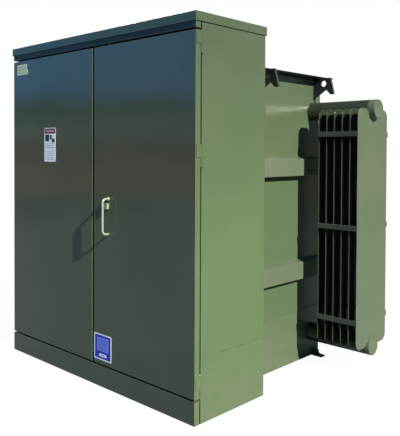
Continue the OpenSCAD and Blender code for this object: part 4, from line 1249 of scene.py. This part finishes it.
sheet_bolts()
flange_bolts("hv_flange_bolts", "hv_bushing_wells", 52 * MM, 10 * MM, 4, 45, 4.5 * MM)
flange_bolts("lv_flange_bolts", "lv_bushings", 47 * MM, 12 * MM, 4, 45, 3.8 * MM)
flange_bolts("fuse_flange_bolts", "fuse_wells", 37 * MM, 8 * MM, 3, 90, 2.8 * MM)
nameplate_rivets()


# ---------- floor, light and surroundings ----------

WHITE = rgb(1, 1, 1)


def by_ray(tree, lit, seen):
    """One shader for the camera's own view, and another for light and reflections."""
    ray = output_of(tree, "ShaderNodeLightPath", output="Is Camera Ray")
    return output_of(tree, "ShaderNodeMixShader", {0: ray, 1: lit, 2: seen})


def make_floor():
    """A pale floor that fades to plain white away from the object; reflections see dark gravel."""
    mesh = bpy.data.meshes.new("floor")
    rim = circle(Vector(), AXES["x"], AXES["y"], 60, 64)
    mesh.from_pydata(rim, [], [tuple(range(len(rim)))])
    floor = link_piece("floor", mesh)
    material = bpy.data.materials.new("pale_floor")
    material.use_nodes = True
    tree = material.node_tree
    tree.nodes.clear()
    place = output_of(tree, "ShaderNodeTexCoord", output="Object")
    away = output_of(tree, "ShaderNodeVectorMath", {0: place}, output="Value", operation="LENGTH")
    grain = mottle(tree, place, 40.0, 0.0, 1.0, 4.0)
    pale = mixed(tree, grain, rgb(0.86, 0.86, 0.85), rgb(0.90, 0.90, 0.89))
    pale = output_of(tree, "ShaderNodeBsdfDiffuse", {"Color": pale})
    glow = output_of(tree, "ShaderNodeEmission", {"Color": WHITE, "Strength": 1.0})
    fading = remap(tree, away, 1.0, 2.6, 0.96, 1.0)
    seen = output_of(tree, "ShaderNodeMixShader", {0: fading, 1: pale, 2: glow})
    gravel = rgb(0.17, 0.19, 0.18)
    for near, far, color in ((7.0, 11.0, rgb(0.09, 0.12, 0.11)), (13.0, 17.0, rgb(0.21, 0.14, 0.12))):
        gravel = mixed(tree, remap(tree, away, near, far, 0.0, 1.0), gravel, color)
    ground = output_of(tree, "ShaderNodeBsdfDiffuse", {"Color": gravel})
    output = add_node(tree, "ShaderNodeOutputMaterial")
    tree.links.new(by_ray(tree, ground, seen), output.inputs["Surface"])
    mesh.materials.append(material)


def color_bands(tree, level, stops):
    """Colours by height from -1 to 1; level is the height moved to 0 to 1."""
    ramp = add_node(tree, "ShaderNodeValToRGB", {"Fac": level})
    colors = ramp.color_ramp.elements
    while len(colors) < len(stops):
        colors.new(0.5)
    for element, (height, color) in zip(colors, stops):
        element.position = (height + 1) / 2
        element.color = rgb(*color)
    return ramp.outputs["Color"]


def make_sun(name, toward, energy, width, color):
    """A distant lamp that shines from a direction; width is its angle in degrees."""
    data = bpy.data.lights.new(name, "SUN")
    data.energy = energy
    data.angle = math.radians(width)
    data.color = color
    lamp = bpy.data.objects.new(name, data)
    lamp.rotation_mode = "QUATERNION"
    lamp.rotation_quaternion = Vector(toward).to_track_quat("Z", "Y")
    bpy.context.scene.collection.objects.link(lamp)


def make_surroundings():
    """Soft bands of sky, trees and ground ahead of the doors, and a duller sky at the sides."""
    world = bpy.data.worlds.new("studio")
    world.use_nodes = True
    tree = world.node_tree
    tree.nodes.clear()
    place = output_of(tree, "ShaderNodeTexCoord", output="Generated")
    split = add_node(tree, "ShaderNodeSeparateXYZ", {"Vector": place}).outputs
    drift = mottle(tree, place, 6.0, -0.016, 0.016, within=(0.25, 0.75))
    level = remap(tree, maths(tree, "ADD", split["Z"], drift), -1.0, 1.0, 0.0, 1.0)
    ahead = color_bands(tree, level, (
        (-1.0, (0.15, 0.16, 0.15)), (0.0, (0.24, 0.15, 0.12)), (0.024, (0.22, 0.19, 0.18)),
        (0.038, (0.24, 0.38, 0.36)), (0.050, (0.14, 0.27, 0.23)), (0.060, (0.01, 0.09, 0.07)),
        (0.072, (0.02, 0.16, 0.17)), (0.090, (0.06, 0.50, 1.15)), (0.20, (0.05, 0.50, 1.30)),
        (0.30, (0.05, 0.20, 0.40)), (1.0, (0.02, 0.05, 0.11)),
    ))
    aside = color_bands(tree, level, (
        (-1.0, (0.15, 0.16, 0.15)), (0.0, (0.20, 0.22, 0.17)), (0.04, (0.04, 0.07, 0.04)),
        (0.08, (0.30, 0.40, 0.40)), (0.22, (0.22, 0.30, 0.36)), (0.34, (0.08, 0.12, 0.17)),
        (1.0, (0.02, 0.05, 0.11)),
    ))
    color = mixed(tree, remap(tree, split["Y"], -0.15, -0.45, 0.0, 1.0), aside, ahead)
    around = output_of(tree, "ShaderNodeBackground", {"Color": color, "Strength": 1.0})
    plain = output_of(tree, "ShaderNodeBackground", {"Color": WHITE, "Strength": 1.0})
    output = add_node(tree, "ShaderNodeOutputWorld")
    tree.links.new(by_ray(tree, around, plain), output.inputs["Surface"])
    bpy.context.scene.world = world
    bpy.context.scene.view_settings.view_transform = "Standard"
    bpy.context.scene.view_settings.look = "None"


make_floor()
make_sun("sun", (0.839, -0.122, 0.530), 8.6, 0.6, (1.0, 0.97, 0.90))
make_sun("rear_fill", (-0.70, 0.56, 0.44), 2.0, 14, (0.92, 0.96, 1.0))
make_surroundings()
